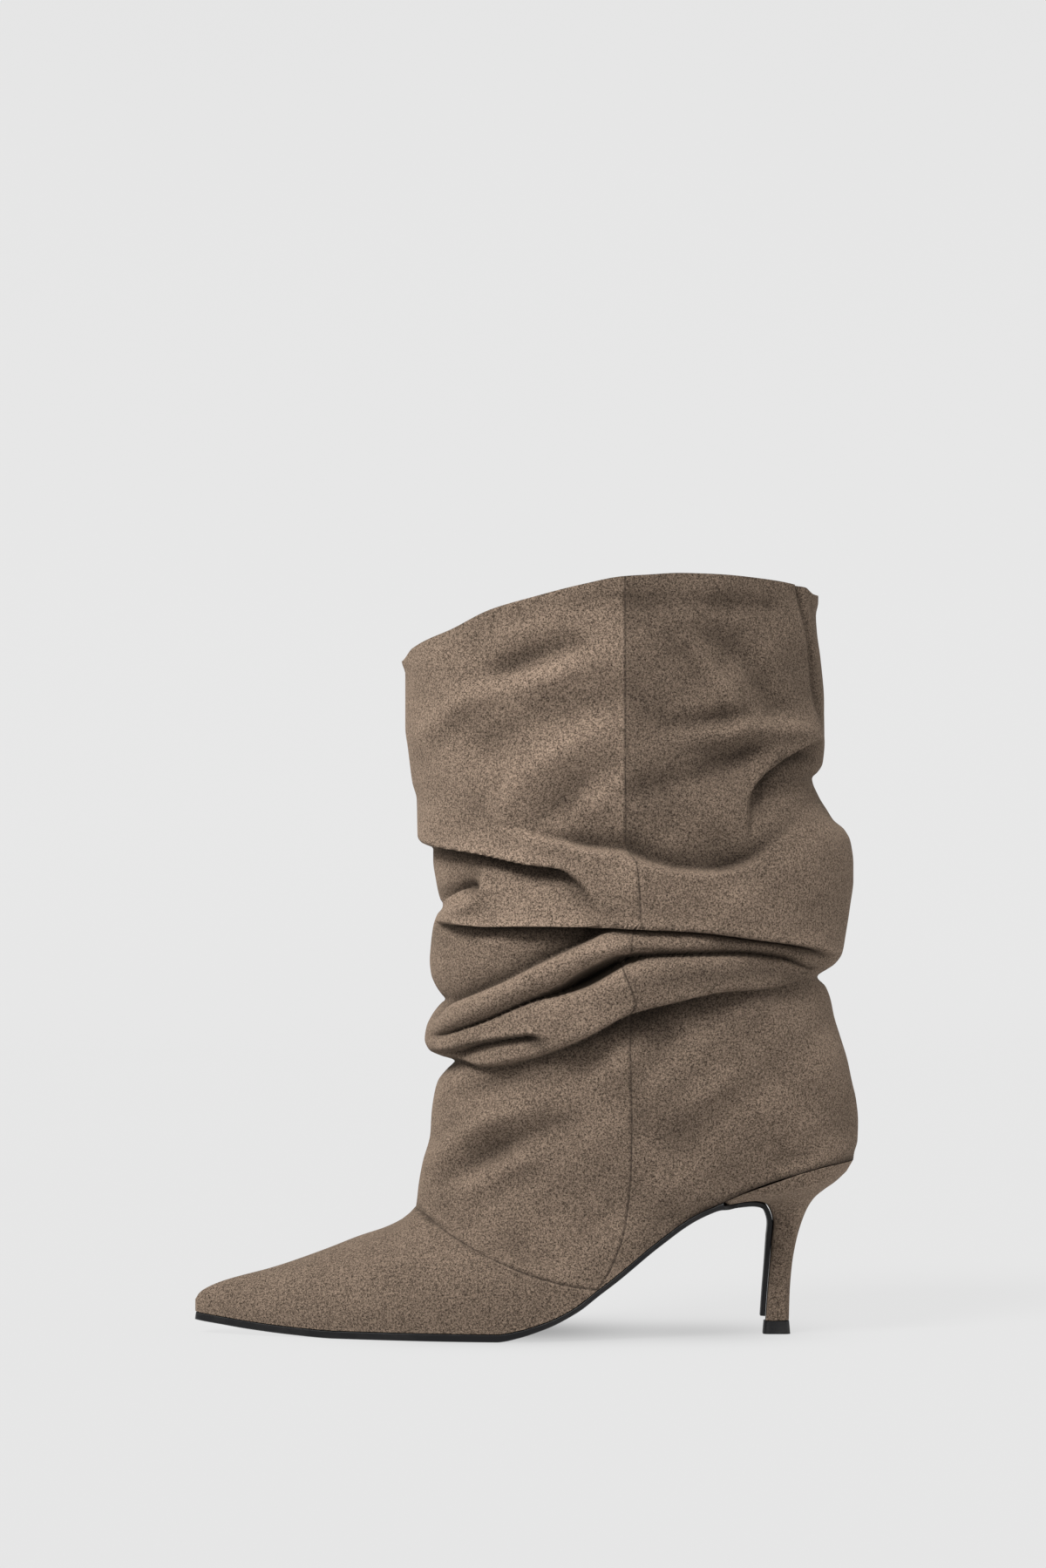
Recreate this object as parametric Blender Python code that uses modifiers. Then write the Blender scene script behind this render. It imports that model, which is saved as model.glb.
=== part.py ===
"""Slouch boot, left foot: suede upper in loose folds, thin black sole, slim covered heel.

Metres, +Z up. The toe points to -X, the outer side faces -Y, and the boot stands on z = 0
with the middle of its top lift at the origin.
"""
import math
from collections import namedtuple

import bmesh
import bpy

# Driving sizes of the foot
FOOT_LENGTH = 0.2478      # toe tip to the back of the heel seat
HEEL_OVERHANG = 0.029     # back of the heel seat behind the middle of the top lift
HEEL_HEIGHT = 0.0658      # floor to the back of the heel seat
BALL_WIDTH = 0.078
TOE_SPRING = 0.0050
TOE_ROUND = 0.005         # length of the rounding at the toe tip
SEAT_ROUND = 0.025        # length of the rounding at the back of the seat
VAMP_LENGTH = 0.0832      # toe tip to the top of the vamp seam
VAMP_SEAM_END = 0.1522    # toe tip to where the vamp seam meets the sole
INSTEP_HEIGHT = 0.0477    # floor to the top of the vamp seam

# Driving sizes of the leg
BOOT_HEIGHT = 0.284
LEG_LENGTH = 0.160        # front to back, where a level's reach is 1
LEG_WIDTH = 0.100         # side to side, where a level's reach is 1
LEG_SETBACK = 0.081       # middle of the leg ahead of the back of the heel seat

# Driving sizes of the leather, sole and heel
WALL = 0.0016
SOLE_THICKNESS = 0.0028
SHANK_THICKNESS = 0.0014   # sole under the arch and down the front of the heel
INSOLE_THICKNESS = 0.0018
INSOLE_TOE = 0.012        # front of the insole behind the toe tip
INSOLE_HEEL = 0.004       # back of the insole ahead of the back of the seat
INSOLE_PLAY = 0.0009      # between the insole's edge and the wall
SEAT_LENGTH = 0.0495      # heel block under the seat, front to back
SEAT_EDGE = 0.0009        # thickness of the heel block at its front edge
LIFT_LENGTH = 0.0095
LIFT_WIDTH = 0.0090
LIFT_HEIGHT = 0.0048
LIFT_FLARE = 0.0004       # the top lift is this much wider at the floor, on each side
LIFT_CORNER = 0.0022
FIT_GAP = 0.0003          # between pieces that touch
SLOPE_STEP = 0.0005       # half the length over which an outline's slope is read

# How finely the surfaces are cut
COLUMNS = 40              # points around the leg
SEAM_COLUMNS = 9          # of them, from the front to the end of the vamp seam
VAMP_ROWS = 15
NOSE_CROWDING = 1.4       # above 1, the vamp rows stand closer at the toe
HEEL_POINTS = 24
FOLD_CLAMP = 1.0          # keeps the inner wall from crossing itself in a tight fold

TOE_X = HEEL_OVERHANG - FOOT_LENGTH
LEG_X = HEEL_OVERHANG - LEG_SETBACK
SEAT_FRONT_X = HEEL_OVERHANG - SEAT_LENGTH
FEATHER_FLOOR = SOLE_THICKNESS + FIT_GAP

# Edge where the upper meets the sole. along: share of the foot from the toe. spring: share of the toe
# spring. rise: share of the heel's rise. outer, inner: half widths as shares of half the ball's width.
# bend: how far the middle line swings to the inner side, in the same shares.
Feather = namedtuple("Feather", "along spring rise outer inner bend")
FEATHER = [
    Feather(0.000, 1.00, 0.000, 0.090, 0.085, 0.090),
    Feather(0.040, 0.74, 0.000, 0.195, 0.180, 0.083),
    Feather(0.080, 0.50, 0.000, 0.330, 0.305, 0.075),
    Feather(0.150, 0.18, 0.000, 0.510, 0.470, 0.062),
    Feather(0.217, 0.00, 0.000, 0.660, 0.610, 0.050),
    Feather(0.300, 0.00, 0.000, 0.815, 0.755, 0.030),
    Feather(0.380, 0.00, 0.000, 0.930, 0.850, 0.012),
    Feather(0.460, 0.00, 0.000, 0.990, 0.880, 0.000),
    Feather(0.490, 0.00, 0.020, 1.000, 0.875, 0.000),
    Feather(0.520, 0.00, 0.054, 0.995, 0.855, 0.000),
    Feather(0.544, 0.00, 0.089, 0.985, 0.835, 0.000),
    Feather(0.578, 0.00, 0.161, 0.955, 0.795, 0.000),
    Feather(0.607, 0.00, 0.249, 0.925, 0.760, 0.000),
    Feather(0.636, 0.00, 0.335, 0.895, 0.725, 0.000),
    Feather(0.697, 0.00, 0.531, 0.825, 0.665, 0.000),
    Feather(0.754, 0.00, 0.688, 0.765, 0.645, 0.000),
    Feather(0.802, 0.00, 0.772, 0.730, 0.650, 0.000),
    Feather(0.843, 0.00, 0.844, 0.710, 0.655, 0.000),
    Feather(0.899, 0.00, 0.917, 0.680, 0.645, 0.000),
    Feather(0.958, 0.00, 0.978, 0.680, 0.645, 0.000),
    Feather(1.000, 0.00, 1.000, 0.680, 0.645, 0.000),
]
TREAD_FRONT = 0.217       # the two ends of the flat tread under the ball, in the same shares
TREAD_BACK = 0.460
SHANK_START = 0.560       # from here back the sole has its shank thickness

# Middle line of the vamp. along: share of the vamp's length, past 1 for the sides of the seam.
# height: share of the instep's height. fullness: 1 is an elliptical arch, less is a squarer one.
Ridge = namedtuple("Ridge", "along height fullness")
RIDGE = [
    Ridge(0.00, 0.262, 0.90),
    Ridge(0.02, 0.315, 0.90),
    Ridge(0.06, 0.360, 0.90),
    Ridge(0.13, 0.410, 0.90),
    Ridge(0.36, 0.520, 0.86),
    Ridge(0.59, 0.660, 0.83),
    Ridge(0.74, 0.763, 0.80),
    Ridge(0.87, 0.840, 0.77),
    Ridge(0.96, 0.925, 0.74),
    Ridge(1.00, 1.000, 0.72),
    Ridge(1.11, 1.010, 0.70),
    Ridge(1.25, 1.055, 0.70),
    Ridge(1.41, 1.190, 0.70),
    Ridge(1.61, 1.420, 0.70),
    Ridge(1.84, 1.700, 0.70),
]
ARCH_BULGE = 0.035        # how far the vamp swells past the feather edge, as a share of its half width
BULGE_POWER = 8           # higher keeps the swell nearer the edge
SEAM_SWEEP = 1.35         # how fast the vamp seam drops from the ridge to the side

# Foot of the leg, from the vamp seam and the feather edge (share 0) up to the lowest fold (share 1).
# front, fore, aft, back: reach at 0, 60, 120 and 180 degrees from the front. oval: how far the
# outline has turned from the foot's into the leg's.
Counter = namedtuple("Counter", "share front fore aft back oval")
COUNTER = [
    Counter(0.00, 1.030, 0.860, 0.740, 1.060, 0.00),
    Counter(0.10, 1.023, 0.820, 0.750, 1.050, 0.60),
    Counter(0.25, 1.012, 0.810, 0.760, 1.037, 0.90),
    Counter(0.45, 0.980, 0.830, 0.790, 1.003, 1.00),
    Counter(0.65, 0.965, 0.860, 0.820, 0.955, 1.00),
    Counter(0.82, 0.945, 0.870, 0.840, 0.918, 1.00),
    Counter(0.93, 0.900, 0.850, 0.840, 0.885, 1.00),
]

# Levels of the slouched leg. The first four numbers are heights as shares of the boot's height, the
# next four are reaches, both at 0, 60, 120 and 180 degrees from the front. A lip hangs lower than the
# tuck before it. cuts: rings between this level and the next.
Level = namedtuple("Level", "name front fore aft back reach_front reach_fore reach_aft reach_back cuts")
LEVELS = [
    Level("low tuck", 0.374, 0.393, 0.476, 0.470, 0.840, 0.800, 0.805, 0.843, 0),
    Level("low lip", 0.366, 0.384, 0.470, 0.474, 0.915, 0.930, 0.880, 0.832, 0),
    Level("low roll", 0.384, 0.417, 0.493, 0.477, 1.003, 0.950, 0.905, 0.822, 1),
    Level("slot", 0.398, 0.465, 0.510, 0.480, 0.997, 0.840, 0.875, 0.813, 0),
    Level("roll lip", 0.407, 0.458, 0.514, 0.483, 0.990, 0.935, 0.880, 0.805, 0),
    Level("roll", 0.421, 0.479, 0.521, 0.485, 0.968, 0.940, 0.880, 0.800, 1),
    Level("wedge tuck", 0.442, 0.504, 0.528, 0.488, 0.895, 0.885, 0.873, 0.800, 1),
    Level("wedge", 0.496, 0.528, 0.535, 0.492, 0.980, 0.900, 0.867, 0.805, 1),
    Level("belt tuck", 0.562, 0.555, 0.541, 0.496, 0.890, 0.845, 0.860, 0.815, 0),
    Level("belt lip", 0.569, 0.548, 0.535, 0.487, 0.925, 0.950, 0.950, 0.885, 0),
    Level("belt foot", 0.584, 0.568, 0.554, 0.507, 0.938, 0.965, 0.965, 0.966, 1),
    Level("belt", 0.602, 0.592, 0.583, 0.553, 0.950, 0.975, 0.980, 0.990, 1),
    Level("belt top", 0.625, 0.609, 0.606, 0.599, 0.963, 0.965, 0.985, 1.012, 1),
    Level("front tuck", 0.657, 0.634, 0.623, 0.627, 0.945, 0.905, 0.975, 1.008, 0),
    Level("front lip", 0.648, 0.626, 0.641, 0.651, 1.015, 0.985, 0.965, 0.995, 0),
    Level("cuff foot", 0.667, 0.650, 0.665, 0.673, 1.038, 0.980, 0.950, 0.955, 1),
    Level("cuff low", 0.701, 0.690, 0.701, 0.697, 1.041, 0.970, 0.930, 0.875, 1),
    Level("back notch", 0.736, 0.736, 0.743, 0.732, 1.065, 0.960, 0.915, 0.820, 1),
    Level("cuff middle", 0.764, 0.775, 0.782, 0.755, 1.080, 0.955, 0.910, 0.872, 1),
    Level("cuff high", 0.810, 0.838, 0.852, 0.803, 1.095, 0.950, 0.900, 0.878, 2),
    Level("cuff rim", 0.856, 0.908, 0.930, 0.898, 1.095, 0.950, 0.895, 0.860, 1),
    Level("collar foot", 0.879, 0.951, 0.975, 0.958, 1.097, 0.955, 0.885, 0.845, 1),
    Level("collar", 0.890, 0.969, 0.996, 0.980, 1.1125, 0.965, 0.885, 0.840, 0),
]

# Heel block from its foot up to the seat. front, back: how far each end stands behind the same end of
# the top lift, in seat lengths. low, high: heights of the two ends, as shares of the block's height
# there. width: from the lift's width (0) to the seat's (1).
Block = namedtuple("Block", "front back low high width")
BLOCK = [
    Block(0.013, 0.000, 0.000, 0.000, 0.000),
    Block(0.027, 0.006, 0.220, 0.165, 0.000),
    Block(0.045, 0.024, 0.460, 0.345, 0.010),
    Block(0.060, 0.061, 0.680, 0.510, 0.055),
    Block(0.070, 0.095, 0.800, 0.605, 0.110),
    Block(0.048, 0.140, 0.905, 0.695, 0.220),
    Block(-0.007, 0.198, 0.978, 0.765, 0.390),
    Block(-0.104, 0.270, 0.998, 0.815, 0.600),
    Block(-0.209, 0.355, 0.992, 0.865, 0.800),
    Block(-0.312, 0.440, 0.980, 0.930, 0.940),
]
FLAP_SHARE = 0.85         # flap's width as a share of the heel's
FLAP_END = 0.035          # height of the flap's lower end, as a share of the block's height
BLOCK_FRONT_POWER = 5     # 2 is round, more is squarer
BLOCK_BACK_POWER = 2.2
SOLE_BEVEL = 0.25         # drawn in at the lower edge of the sole, as a share of its thickness
NARROW_BEVEL = 1 / 6      # and at most this share of its width


def smooth(rows, place, column, at):
    """Value of a table's column, by a cubic through the rows that never overshoots them."""
    places = [getattr(row, place) for row in rows]
    values = [getattr(row, column) for row in rows]
    at = min(max(at, places[0]), places[-1])
    low = 0
    while low < len(places) - 2 and at > places[low + 1]:
        low += 1
    slopes = [(values[i + 1] - values[i]) / (places[i + 1] - places[i]) for i in range(len(places) - 1)]

    def tangent(i):
        if i == 0:
            return slopes[0]
        if i == len(slopes):
            return slopes[-1]
        before, after = slopes[i - 1], slopes[i]
        return 0.0 if before * after <= 0 else 2 * before * after / (before + after)

    span = places[low + 1] - places[low]
    t = (at - places[low]) / span
    start, end = tangent(low) * span, tangent(low + 1) * span
    rise = values[low + 1] - values[low]
    return values[low] + t * (start + t * (3 * rise - 2 * start - end + t * (start + end - 2 * rise)))


def around(front, fore, aft, back, angle):
    """Smooth closed curve through four values at 0, 60, 120 and 180 degrees from the front."""
    level = (front + 2 * fore + 2 * aft + back) / 6
    lean = (front + fore - aft - back) / 3
    pinch = (front - fore - aft + back) / 3
    skew = (front - 2 * fore + 2 * aft - back) / 6
    return level + lean * math.cos(angle) + pinch * math.cos(2 * angle) + skew * math.cos(3 * angle)


def mix(a, b, share):
    return a + (b - a) * share


def feather(column, x):
    return smooth(FEATHER, "along", column, (x - TOE_X) / FOOT_LENGTH)


def feather_height(x):
    """Height of the edge where the upper meets what is under it."""
    rise = HEEL_HEIGHT - FEATHER_FLOOR
    return FEATHER_FLOOR + TOE_SPRING * feather("spring", x) + rise * feather("rise", x)


def end_round(x):
    """1 along the foot, falling to 0 round the toe tip and round the back of the seat."""
    toe = min(max((x - TOE_X) / TOE_ROUND, 0), 1)
    seat = min(max((HEEL_OVERHANG - x) / SEAT_ROUND, 0), 1)
    return math.sqrt(max(1 - (1 - toe) ** 2, 0)) * math.sqrt(max(1 - (1 - seat) ** 2, 0))


def half_width(x, side):
    """Feather edge's distance from the middle line: side -1 is the outer side, 1 the inner."""
    return BALL_WIDTH / 2 * feather("outer" if side < 0 else "inner", x) * end_round(x)


def middle(x):
    return BALL_WIDTH / 2 * feather("bend", x)


def row_place(row):
    """Share of the way from the toe tip to the vamp seam, at a row of the vamp."""
    return (row / VAMP_ROWS) ** NOSE_CROWDING


def seat_place(turn):
    """Place along the foot behind the vamp seam: turn 0 at the seam, 1 at the back of the seat."""
    return mix(TOE_X + VAMP_SEAM_END, HEEL_OVERHANG, math.sin(turn * math.pi / 2))


def edge_stations():
    """Places along the foot where the upper's lower edge has its corners."""
    seat_steps = COLUMNS // 2 - SEAM_COLUMNS
    vamp = [mix(TOE_X, TOE_X + VAMP_SEAM_END, row_place(row)) for row in range(VAMP_ROWS)]
    return vamp + [seat_place(step / seat_steps) for step in range(seat_steps + 1)]


def edge_height(x):
    """Height of the upper's lower edge, straight between its corners."""
    places = edge_stations()
    after = next((i for i, place in enumerate(places) if place >= x and i > 0), len(places) - 1)
    low, high = places[after - 1], places[after]
    share = min(max((x - low) / (high - low), 0), 1)
    return mix(feather_height(low), feather_height(high), share)


def vamp_point(x, arch):
    """Point of the vamp above x: arch runs from 0 at the outer feather edge to pi at the inner."""
    along = (x - TOE_X) / VAMP_LENGTH
    top = INSTEP_HEIGHT * smooth(RIDGE, "along", "height", along)
    fullness = smooth(RIDGE, "along", "fullness", along)
    side = -math.cos(arch)
    lift = math.sin(arch) if 0 < arch < math.pi else 0.0
    swell = 1 + ARCH_BULGE * (1 - (1 - lift) ** BULGE_POWER)
    foot = feather_height(x)
    y = middle(x) + side * half_width(x, side) * swell
    return (x, y, foot + (top - foot) * lift ** fullness)


def seam_place(share):
    """Place along the foot and arch angle of the vamp seam: share 0 on the ridge, 1 on the sole."""
    along = mix(VAMP_LENGTH, VAMP_SEAM_END, 1 - math.cos(share * math.pi / 2))
    return TOE_X + along, math.pi / 2 * (1 - share) ** SEAM_SWEEP


def foot_ring():
    """Lowest ring of the leg: the vamp seam over the instep, then the feather edge round the heel."""
    side = []
    for step in range(COLUMNS // 2 + 1):
        if step <= SEAM_COLUMNS:
            x, arch = seam_place(step / SEAM_COLUMNS)
            side.append(vamp_point(x, arch))
        else:
            x = seat_place((step - SEAM_COLUMNS) / (COLUMNS // 2 - SEAM_COLUMNS))
            side.append((x, -half_width(x, -1), feather_height(x)))
    other = []
    for step in range(COLUMNS // 2 - 1, 0, -1):
        x, y, z = side[step]
        if step <= SEAM_COLUMNS:
            other.append(vamp_point(x, math.pi - seam_place(step / SEAM_COLUMNS)[1]))
        else:
            other.append((x, half_width(x, 1), z))
    return side + other


def column_angle(column):
    return column * 2 * math.pi / COLUMNS


def oval_point(reach, angle):
    x = LEG_X - LEG_LENGTH / 2 * reach * math.cos(angle)
    return x, -LEG_WIDTH / 2 * reach * math.sin(angle)


def level_ring(place):
    """Ring of the slouched leg at a place between the rows of LEVELS."""
    steps = [row._replace(cuts=index) for index, row in enumerate(LEVELS)]

    def read(*columns):
        return [smooth(steps, "cuts", column, place) for column in columns]

    heights = read("front", "fore", "aft", "back")
    reaches = read("reach_front", "reach_fore", "reach_aft", "reach_back")
    ring = []
    for column in range(COLUMNS):
        angle = column_angle(column)
        x, y = oval_point(around(*reaches, angle), angle)
        ring.append((x, y, BOOT_HEIGHT * around(*heights, angle)))
    return ring


def counter_ring(row, low, high):
    """Ring of the leg between the foot ring and the lowest fold."""
    ring = []
    for column in range(COLUMNS):
        angle = column_angle(column)
        x, y = oval_point(around(row.front, row.fore, row.aft, row.back, angle), angle)
        z = mix(low[column][2], high[column][2], row.share)
        ring.append((mix(low[column][0], x, row.oval), mix(low[column][1], y, row.oval), z))
    return ring


def leg_rings():
    low = foot_ring()
    high = level_ring(0)
    rings = [low] + [counter_ring(row, low, high) for row in COUNTER[1:]]
    for index, row in enumerate(LEVELS[:-1]):
        rings += [level_ring(index + cut / (row.cuts + 1)) for cut in range(row.cuts + 1)]
    return rings + [level_ring(len(LEVELS) - 1)]


def material(name, colour, roughness):
    made = bpy.data.materials.new(name)
    made.use_nodes = True
    shader = made.node_tree.nodes["Principled BSDF"]
    shader.inputs["Base Color"].default_value = (*colour, 1)
    shader.inputs["Roughness"].default_value = roughness
    shader.inputs["Metallic"].default_value = 0.0
    return made


def finish(name, bm, made, collection, round_angle=40):
    """Turn a bmesh into a named object of the boot, shaded smooth between its sharp edges."""
    bmesh.ops.recalc_face_normals(bm, faces=bm.faces)
    mesh = bpy.data.meshes.new(name)
    bm.to_mesh(mesh)
    bm.free()
    mesh.shade_smooth()
    mesh.set_sharp_from_angle(angle=math.radians(round_angle))
    piece = bpy.data.objects.new(name, mesh)
    piece.data.materials.append(made)
    collection.objects.link(piece)
    return piece


def loft(rings):
    """Closed bmesh through rings of equally many points, capped at both ends."""
    bm = bmesh.new()
    loops = [[bm.verts.new(point) for point in ring] for ring in rings]
    for low, high in zip(loops, loops[1:]):
        for i in range(len(low)):
            j = (i + 1) % len(low)
            bm.faces.new((low[i], low[j], high[j], high[i]))
    bm.faces.new(loops[0][::-1])
    bm.faces.new(loops[-1])
    return bm


def make_upper(made, collection):
    """Suede vamp and leg as one open surface, then the wall's thickness to the inside."""
    bm = bmesh.new()
    rings = [[bm.verts.new(point) for point in ring] for ring in leg_rings()]
    for low, high in zip(rings, rings[1:]):
        for i in range(COLUMNS):
            j = (i + 1) % COLUMNS
            bm.faces.new((low[i], low[j], high[j], high[i]))
    seam = [rings[0][step % COLUMNS] for step in range(SEAM_COLUMNS, -SEAM_COLUMNS - 1, -1)]
    arches = [seam_place(step / SEAM_COLUMNS)[1] for step in range(SEAM_COLUMNS, -1, -1)]
    arches += [math.pi - arch for arch in arches[-2::-1]]
    rows = []
    for row in range(VAMP_ROWS):
        rows.append([bm.verts.new(vamp_point(mix(TOE_X, end.co.x, row_place(row)), arch))
                     for end, arch in zip(seam, arches)])
    rows.append(seam)
    for near, far in zip(rows, rows[1:]):
        for i in range(len(seam) - 1):
            bm.faces.new((near[i], near[i + 1], far[i + 1], far[i]))
    bmesh.ops.remove_doubles(bm, verts=bm.verts, dist=1e-6)
    upper = finish("upper", bm, made, collection)
    wall = upper.modifiers.new("wall", "SOLIDIFY")
    wall.thickness = WALL
    wall.offset = -1
    wall.thickness_clamp = FOLD_CLAMP
    return upper


def plate_ring(x, y_outer, y_inner, top, under, edge):
    """Section across a thin plate: the top from the outer to the inner side, then the underside."""
    shares = (0.0, 0.25, 0.5, 0.75, 1.0)
    upper_side = [(x, mix(y_outer, y_inner, share), top) for share in shares]
    low_outer, low_inner = y_outer + edge, y_inner - edge
    lower_side = [(under[0], mix(low_outer, low_inner, share), under[1]) for share in shares[::-1]]
    return upper_side + lower_side


def breast_line():
    """Front of the heel from the seat down to the flap's end: (x, z, half width) at each row."""
    rows = BLOCK[::-1]
    line = []
    for row in rows:
        x, z, wide = block_front(row)
        line.append((x, z, wide))
    foot = block_front(BLOCK[0])
    above = block_front(BLOCK[1])
    line[-1] = tuple(mix(foot[i], above[i], FLAP_END / BLOCK[1].low) for i in range(3))
    return line


def block_front(row):
    """Front end of a section of the heel block: x, z and the section's half width."""
    x = -LIFT_LENGTH / 2 + SEAT_LENGTH * row.front
    z = block_height(SEAT_FRONT_X, row.low)
    seat = half_width(HEEL_OVERHANG - SEAT_ROUND, -1)
    return x, z, mix(LIFT_WIDTH / 2, seat, row.width)


def block_height(x, share):
    foot = LIFT_HEIGHT + FIT_GAP
    top = feather_height(x) - FIT_GAP - (SEAT_EDGE if x == SEAT_FRONT_X else 0)
    return mix(foot, top, share)


def make_outsole(made, collection):
    """Forefoot, shank and flap as one plate that follows the feather edge and the heel's front."""
    line = []
    shank_end = SEAT_FRONT_X - SOLE_THICKNESS
    places = [x for x in edge_stations() if x < shank_end - SOLE_THICKNESS] + [shank_end]
    for x in [TOE_X + FIT_GAP] + places[1:]:
        outer, inner = middle(x) - half_width(x, -1), middle(x) + half_width(x, 1)
        line.append((x, edge_height(x) - FIT_GAP, outer, inner))
    for x, z, wide in breast_line():
        line.append((x, z, -wide * FLAP_SHARE, wide * FLAP_SHARE))
    rings = []
    for index, (x, z, outer, inner) in enumerate(line):
        before, after = line[max(index - 1, 0)], line[min(index + 1, len(line) - 1)]
        run, climb = after[0] - before[0], after[1] - before[1]
        length = math.hypot(run, climb)
        normal = (climb / length, -run / length)
        if index >= len(places):
            x, z = x + normal[0] * FIT_GAP, z + normal[1] * FIT_GAP
        shank = min(max((x - TOE_X) / FOOT_LENGTH - TREAD_BACK, 0) / (SHANK_START - TREAD_BACK), 1)
        thick = mix(SOLE_THICKNESS, SHANK_THICKNESS, shank)
        if TREAD_FRONT <= (x - TOE_X) / FOOT_LENGTH <= TREAD_BACK:
            normal = (0.0, -1.0)
        edge = min((inner - outer) * NARROW_BEVEL, thick * SOLE_BEVEL)
        rings.append(plate_ring(x, outer, inner, z, (x + normal[0] * thick, z + normal[1] * thick), edge))
    return finish("outsole", loft(rings), made, collection)


def inset_width(x, side, inset):
    """Feather edge's distance from the middle line, once the edge is moved inwards by the inset."""
    slope = (half_width(x + SLOPE_STEP, side) - half_width(x - SLOPE_STEP, side)) / (2 * SLOPE_STEP)
    return half_width(x, side) - inset * math.hypot(1, slope)


def make_insole(made, collection):
    """Board inside the upper, on top of the sole and the heel."""
    inset = WALL + INSOLE_PLAY
    start, end = TOE_X + INSOLE_TOE, HEEL_OVERHANG - INSOLE_HEEL
    rings = []
    for x in [start] + [x for x in edge_stations() if start < x < end] + [end]:
        outer = middle(x) - inset_width(x, -1, inset)
        inner = middle(x) + inset_width(x, 1, inset)
        z = edge_height(x)
        rings.append(plate_ring(x, outer, inner, z + INSOLE_THICKNESS, (x, z), 0.0))
    return finish("insole", loft(rings), made, collection)


def make_heel(made, collection):
    """Covered block: flat across its front, round behind, from the top lift to the seat."""
    rings = []
    for row in BLOCK + [None]:
        ring = []
        for step in range(HEEL_POINTS):
            turn = 2 * math.pi * (step + 0.5) / HEEL_POINTS
            ahead, aside = math.cos(turn), math.sin(turn)
            front_power, back_power = 2 / BLOCK_FRONT_POWER, 2 / BLOCK_BACK_POWER
            aside = math.copysign(abs(aside) ** (front_power if ahead > 0 else 1), aside)
            ahead = math.copysign(abs(ahead) ** (front_power if ahead > 0 else back_power), ahead)
            if row is None:
                x = mix(HEEL_OVERHANG, SEAT_FRONT_X, (ahead + 1) / 2)
                y = aside * half_width(min(x, HEEL_OVERHANG - SEAT_ROUND), aside)
                ring.append((x, y, edge_height(x) - FIT_GAP))
                continue
            front, low, wide = block_front(row)
            back = LIFT_LENGTH / 2 + SEAT_LENGTH * row.back
            high = block_height(HEEL_OVERHANG, row.high)
            x = mix(back, front, (ahead + 1) / 2)
            ring.append((x, aside * wide, mix(high, low, (ahead + 1) / 2)))
        rings.append(ring)
    return finish("heel", loft(rings), made, collection)


def make_top_lift(made, collection):
    """Small block under the heel, a little wider at the floor."""
    bm = bmesh.new()
    bmesh.ops.create_cube(bm, size=1)
    for corner in bm.verts:
        flare = LIFT_FLARE if corner.co.z < 0 else 0.0
        corner.co.x *= LIFT_LENGTH + 2 * flare
        corner.co.y *= LIFT_WIDTH + 2 * flare
        corner.co.z = (corner.co.z + 0.5) * LIFT_HEIGHT
    upright = [edge for edge in bm.edges if abs(edge.verts[0].co.z - edge.verts[1].co.z) > LIFT_HEIGHT / 2]
    bmesh.ops.bevel(bm, geom=upright, offset=LIFT_CORNER, segments=3, profile=0.5, material=-1,
                    affect="EDGES")
    return finish("top_lift", bm, made, collection)


def main():
    for old in list(bpy.data.objects):
        bpy.data.objects.remove(old, do_unlink=True)
    collection = bpy.data.collections.new("slouch_boot")
    bpy.context.scene.collection.children.link(collection)
    suede = material("suede", (0.195, 0.145, 0.108), 0.95)
    black_sole = material("black_sole", (0.012, 0.011, 0.011), 0.45)
    board = material("insole_board", (0.30, 0.23, 0.16), 0.7)
    rubber = material("lift_rubber", (0.010, 0.010, 0.011), 0.5)
    make_upper(suede, collection)
    make_insole(board, collection)
    make_outsole(black_sole, collection)
    make_heel(suede, collection)
    make_top_lift(rubber, collection)


main()
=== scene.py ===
"""Looks of the slouch boot: suede upper in folds, black sole, covered heel, on a pale floor.

Metres, +Z up, toe towards -X, outer side towards -Y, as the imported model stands. The fold lines are
sizes on the boot as its outer side is seen from the camera's side, in millimetres from the top lift.
"""
import math
from collections import namedtuple

import bmesh
import bpy
import numpy as np
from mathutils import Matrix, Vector


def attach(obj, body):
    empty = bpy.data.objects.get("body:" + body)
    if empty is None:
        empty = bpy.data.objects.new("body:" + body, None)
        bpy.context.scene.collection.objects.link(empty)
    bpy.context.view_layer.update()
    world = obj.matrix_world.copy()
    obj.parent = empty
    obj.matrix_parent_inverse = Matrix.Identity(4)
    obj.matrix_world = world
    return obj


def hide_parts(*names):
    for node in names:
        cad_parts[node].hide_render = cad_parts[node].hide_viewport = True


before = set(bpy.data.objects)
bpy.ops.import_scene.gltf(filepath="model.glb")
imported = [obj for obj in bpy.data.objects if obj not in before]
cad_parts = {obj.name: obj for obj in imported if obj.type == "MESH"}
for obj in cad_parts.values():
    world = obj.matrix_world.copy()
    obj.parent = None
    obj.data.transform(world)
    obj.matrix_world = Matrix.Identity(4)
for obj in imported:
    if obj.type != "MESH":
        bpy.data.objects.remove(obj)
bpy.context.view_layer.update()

MM = 0.001

# Driving sizes of the boot, as in the model's source
FOOT_LENGTH = 0.2478
HEEL_OVERHANG = 0.029
HEEL_HEIGHT = 0.0658
BALL_WIDTH = 0.078
TOE_SPRING = 0.0050
TOE_ROUND = 0.005
SEAT_ROUND = 0.025
VAMP_LENGTH = 0.0832
VAMP_SEAM_END = 0.1522
INSTEP_HEIGHT = 0.0477
WALL = 0.0016
SOLE_THICKNESS = 0.0028
FIT_GAP = 0.0003
ARCH_BULGE = 0.035
BULGE_POWER = 8
SEAM_SWEEP = 1.35
NOSE_CROWDING = 1.4

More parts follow.
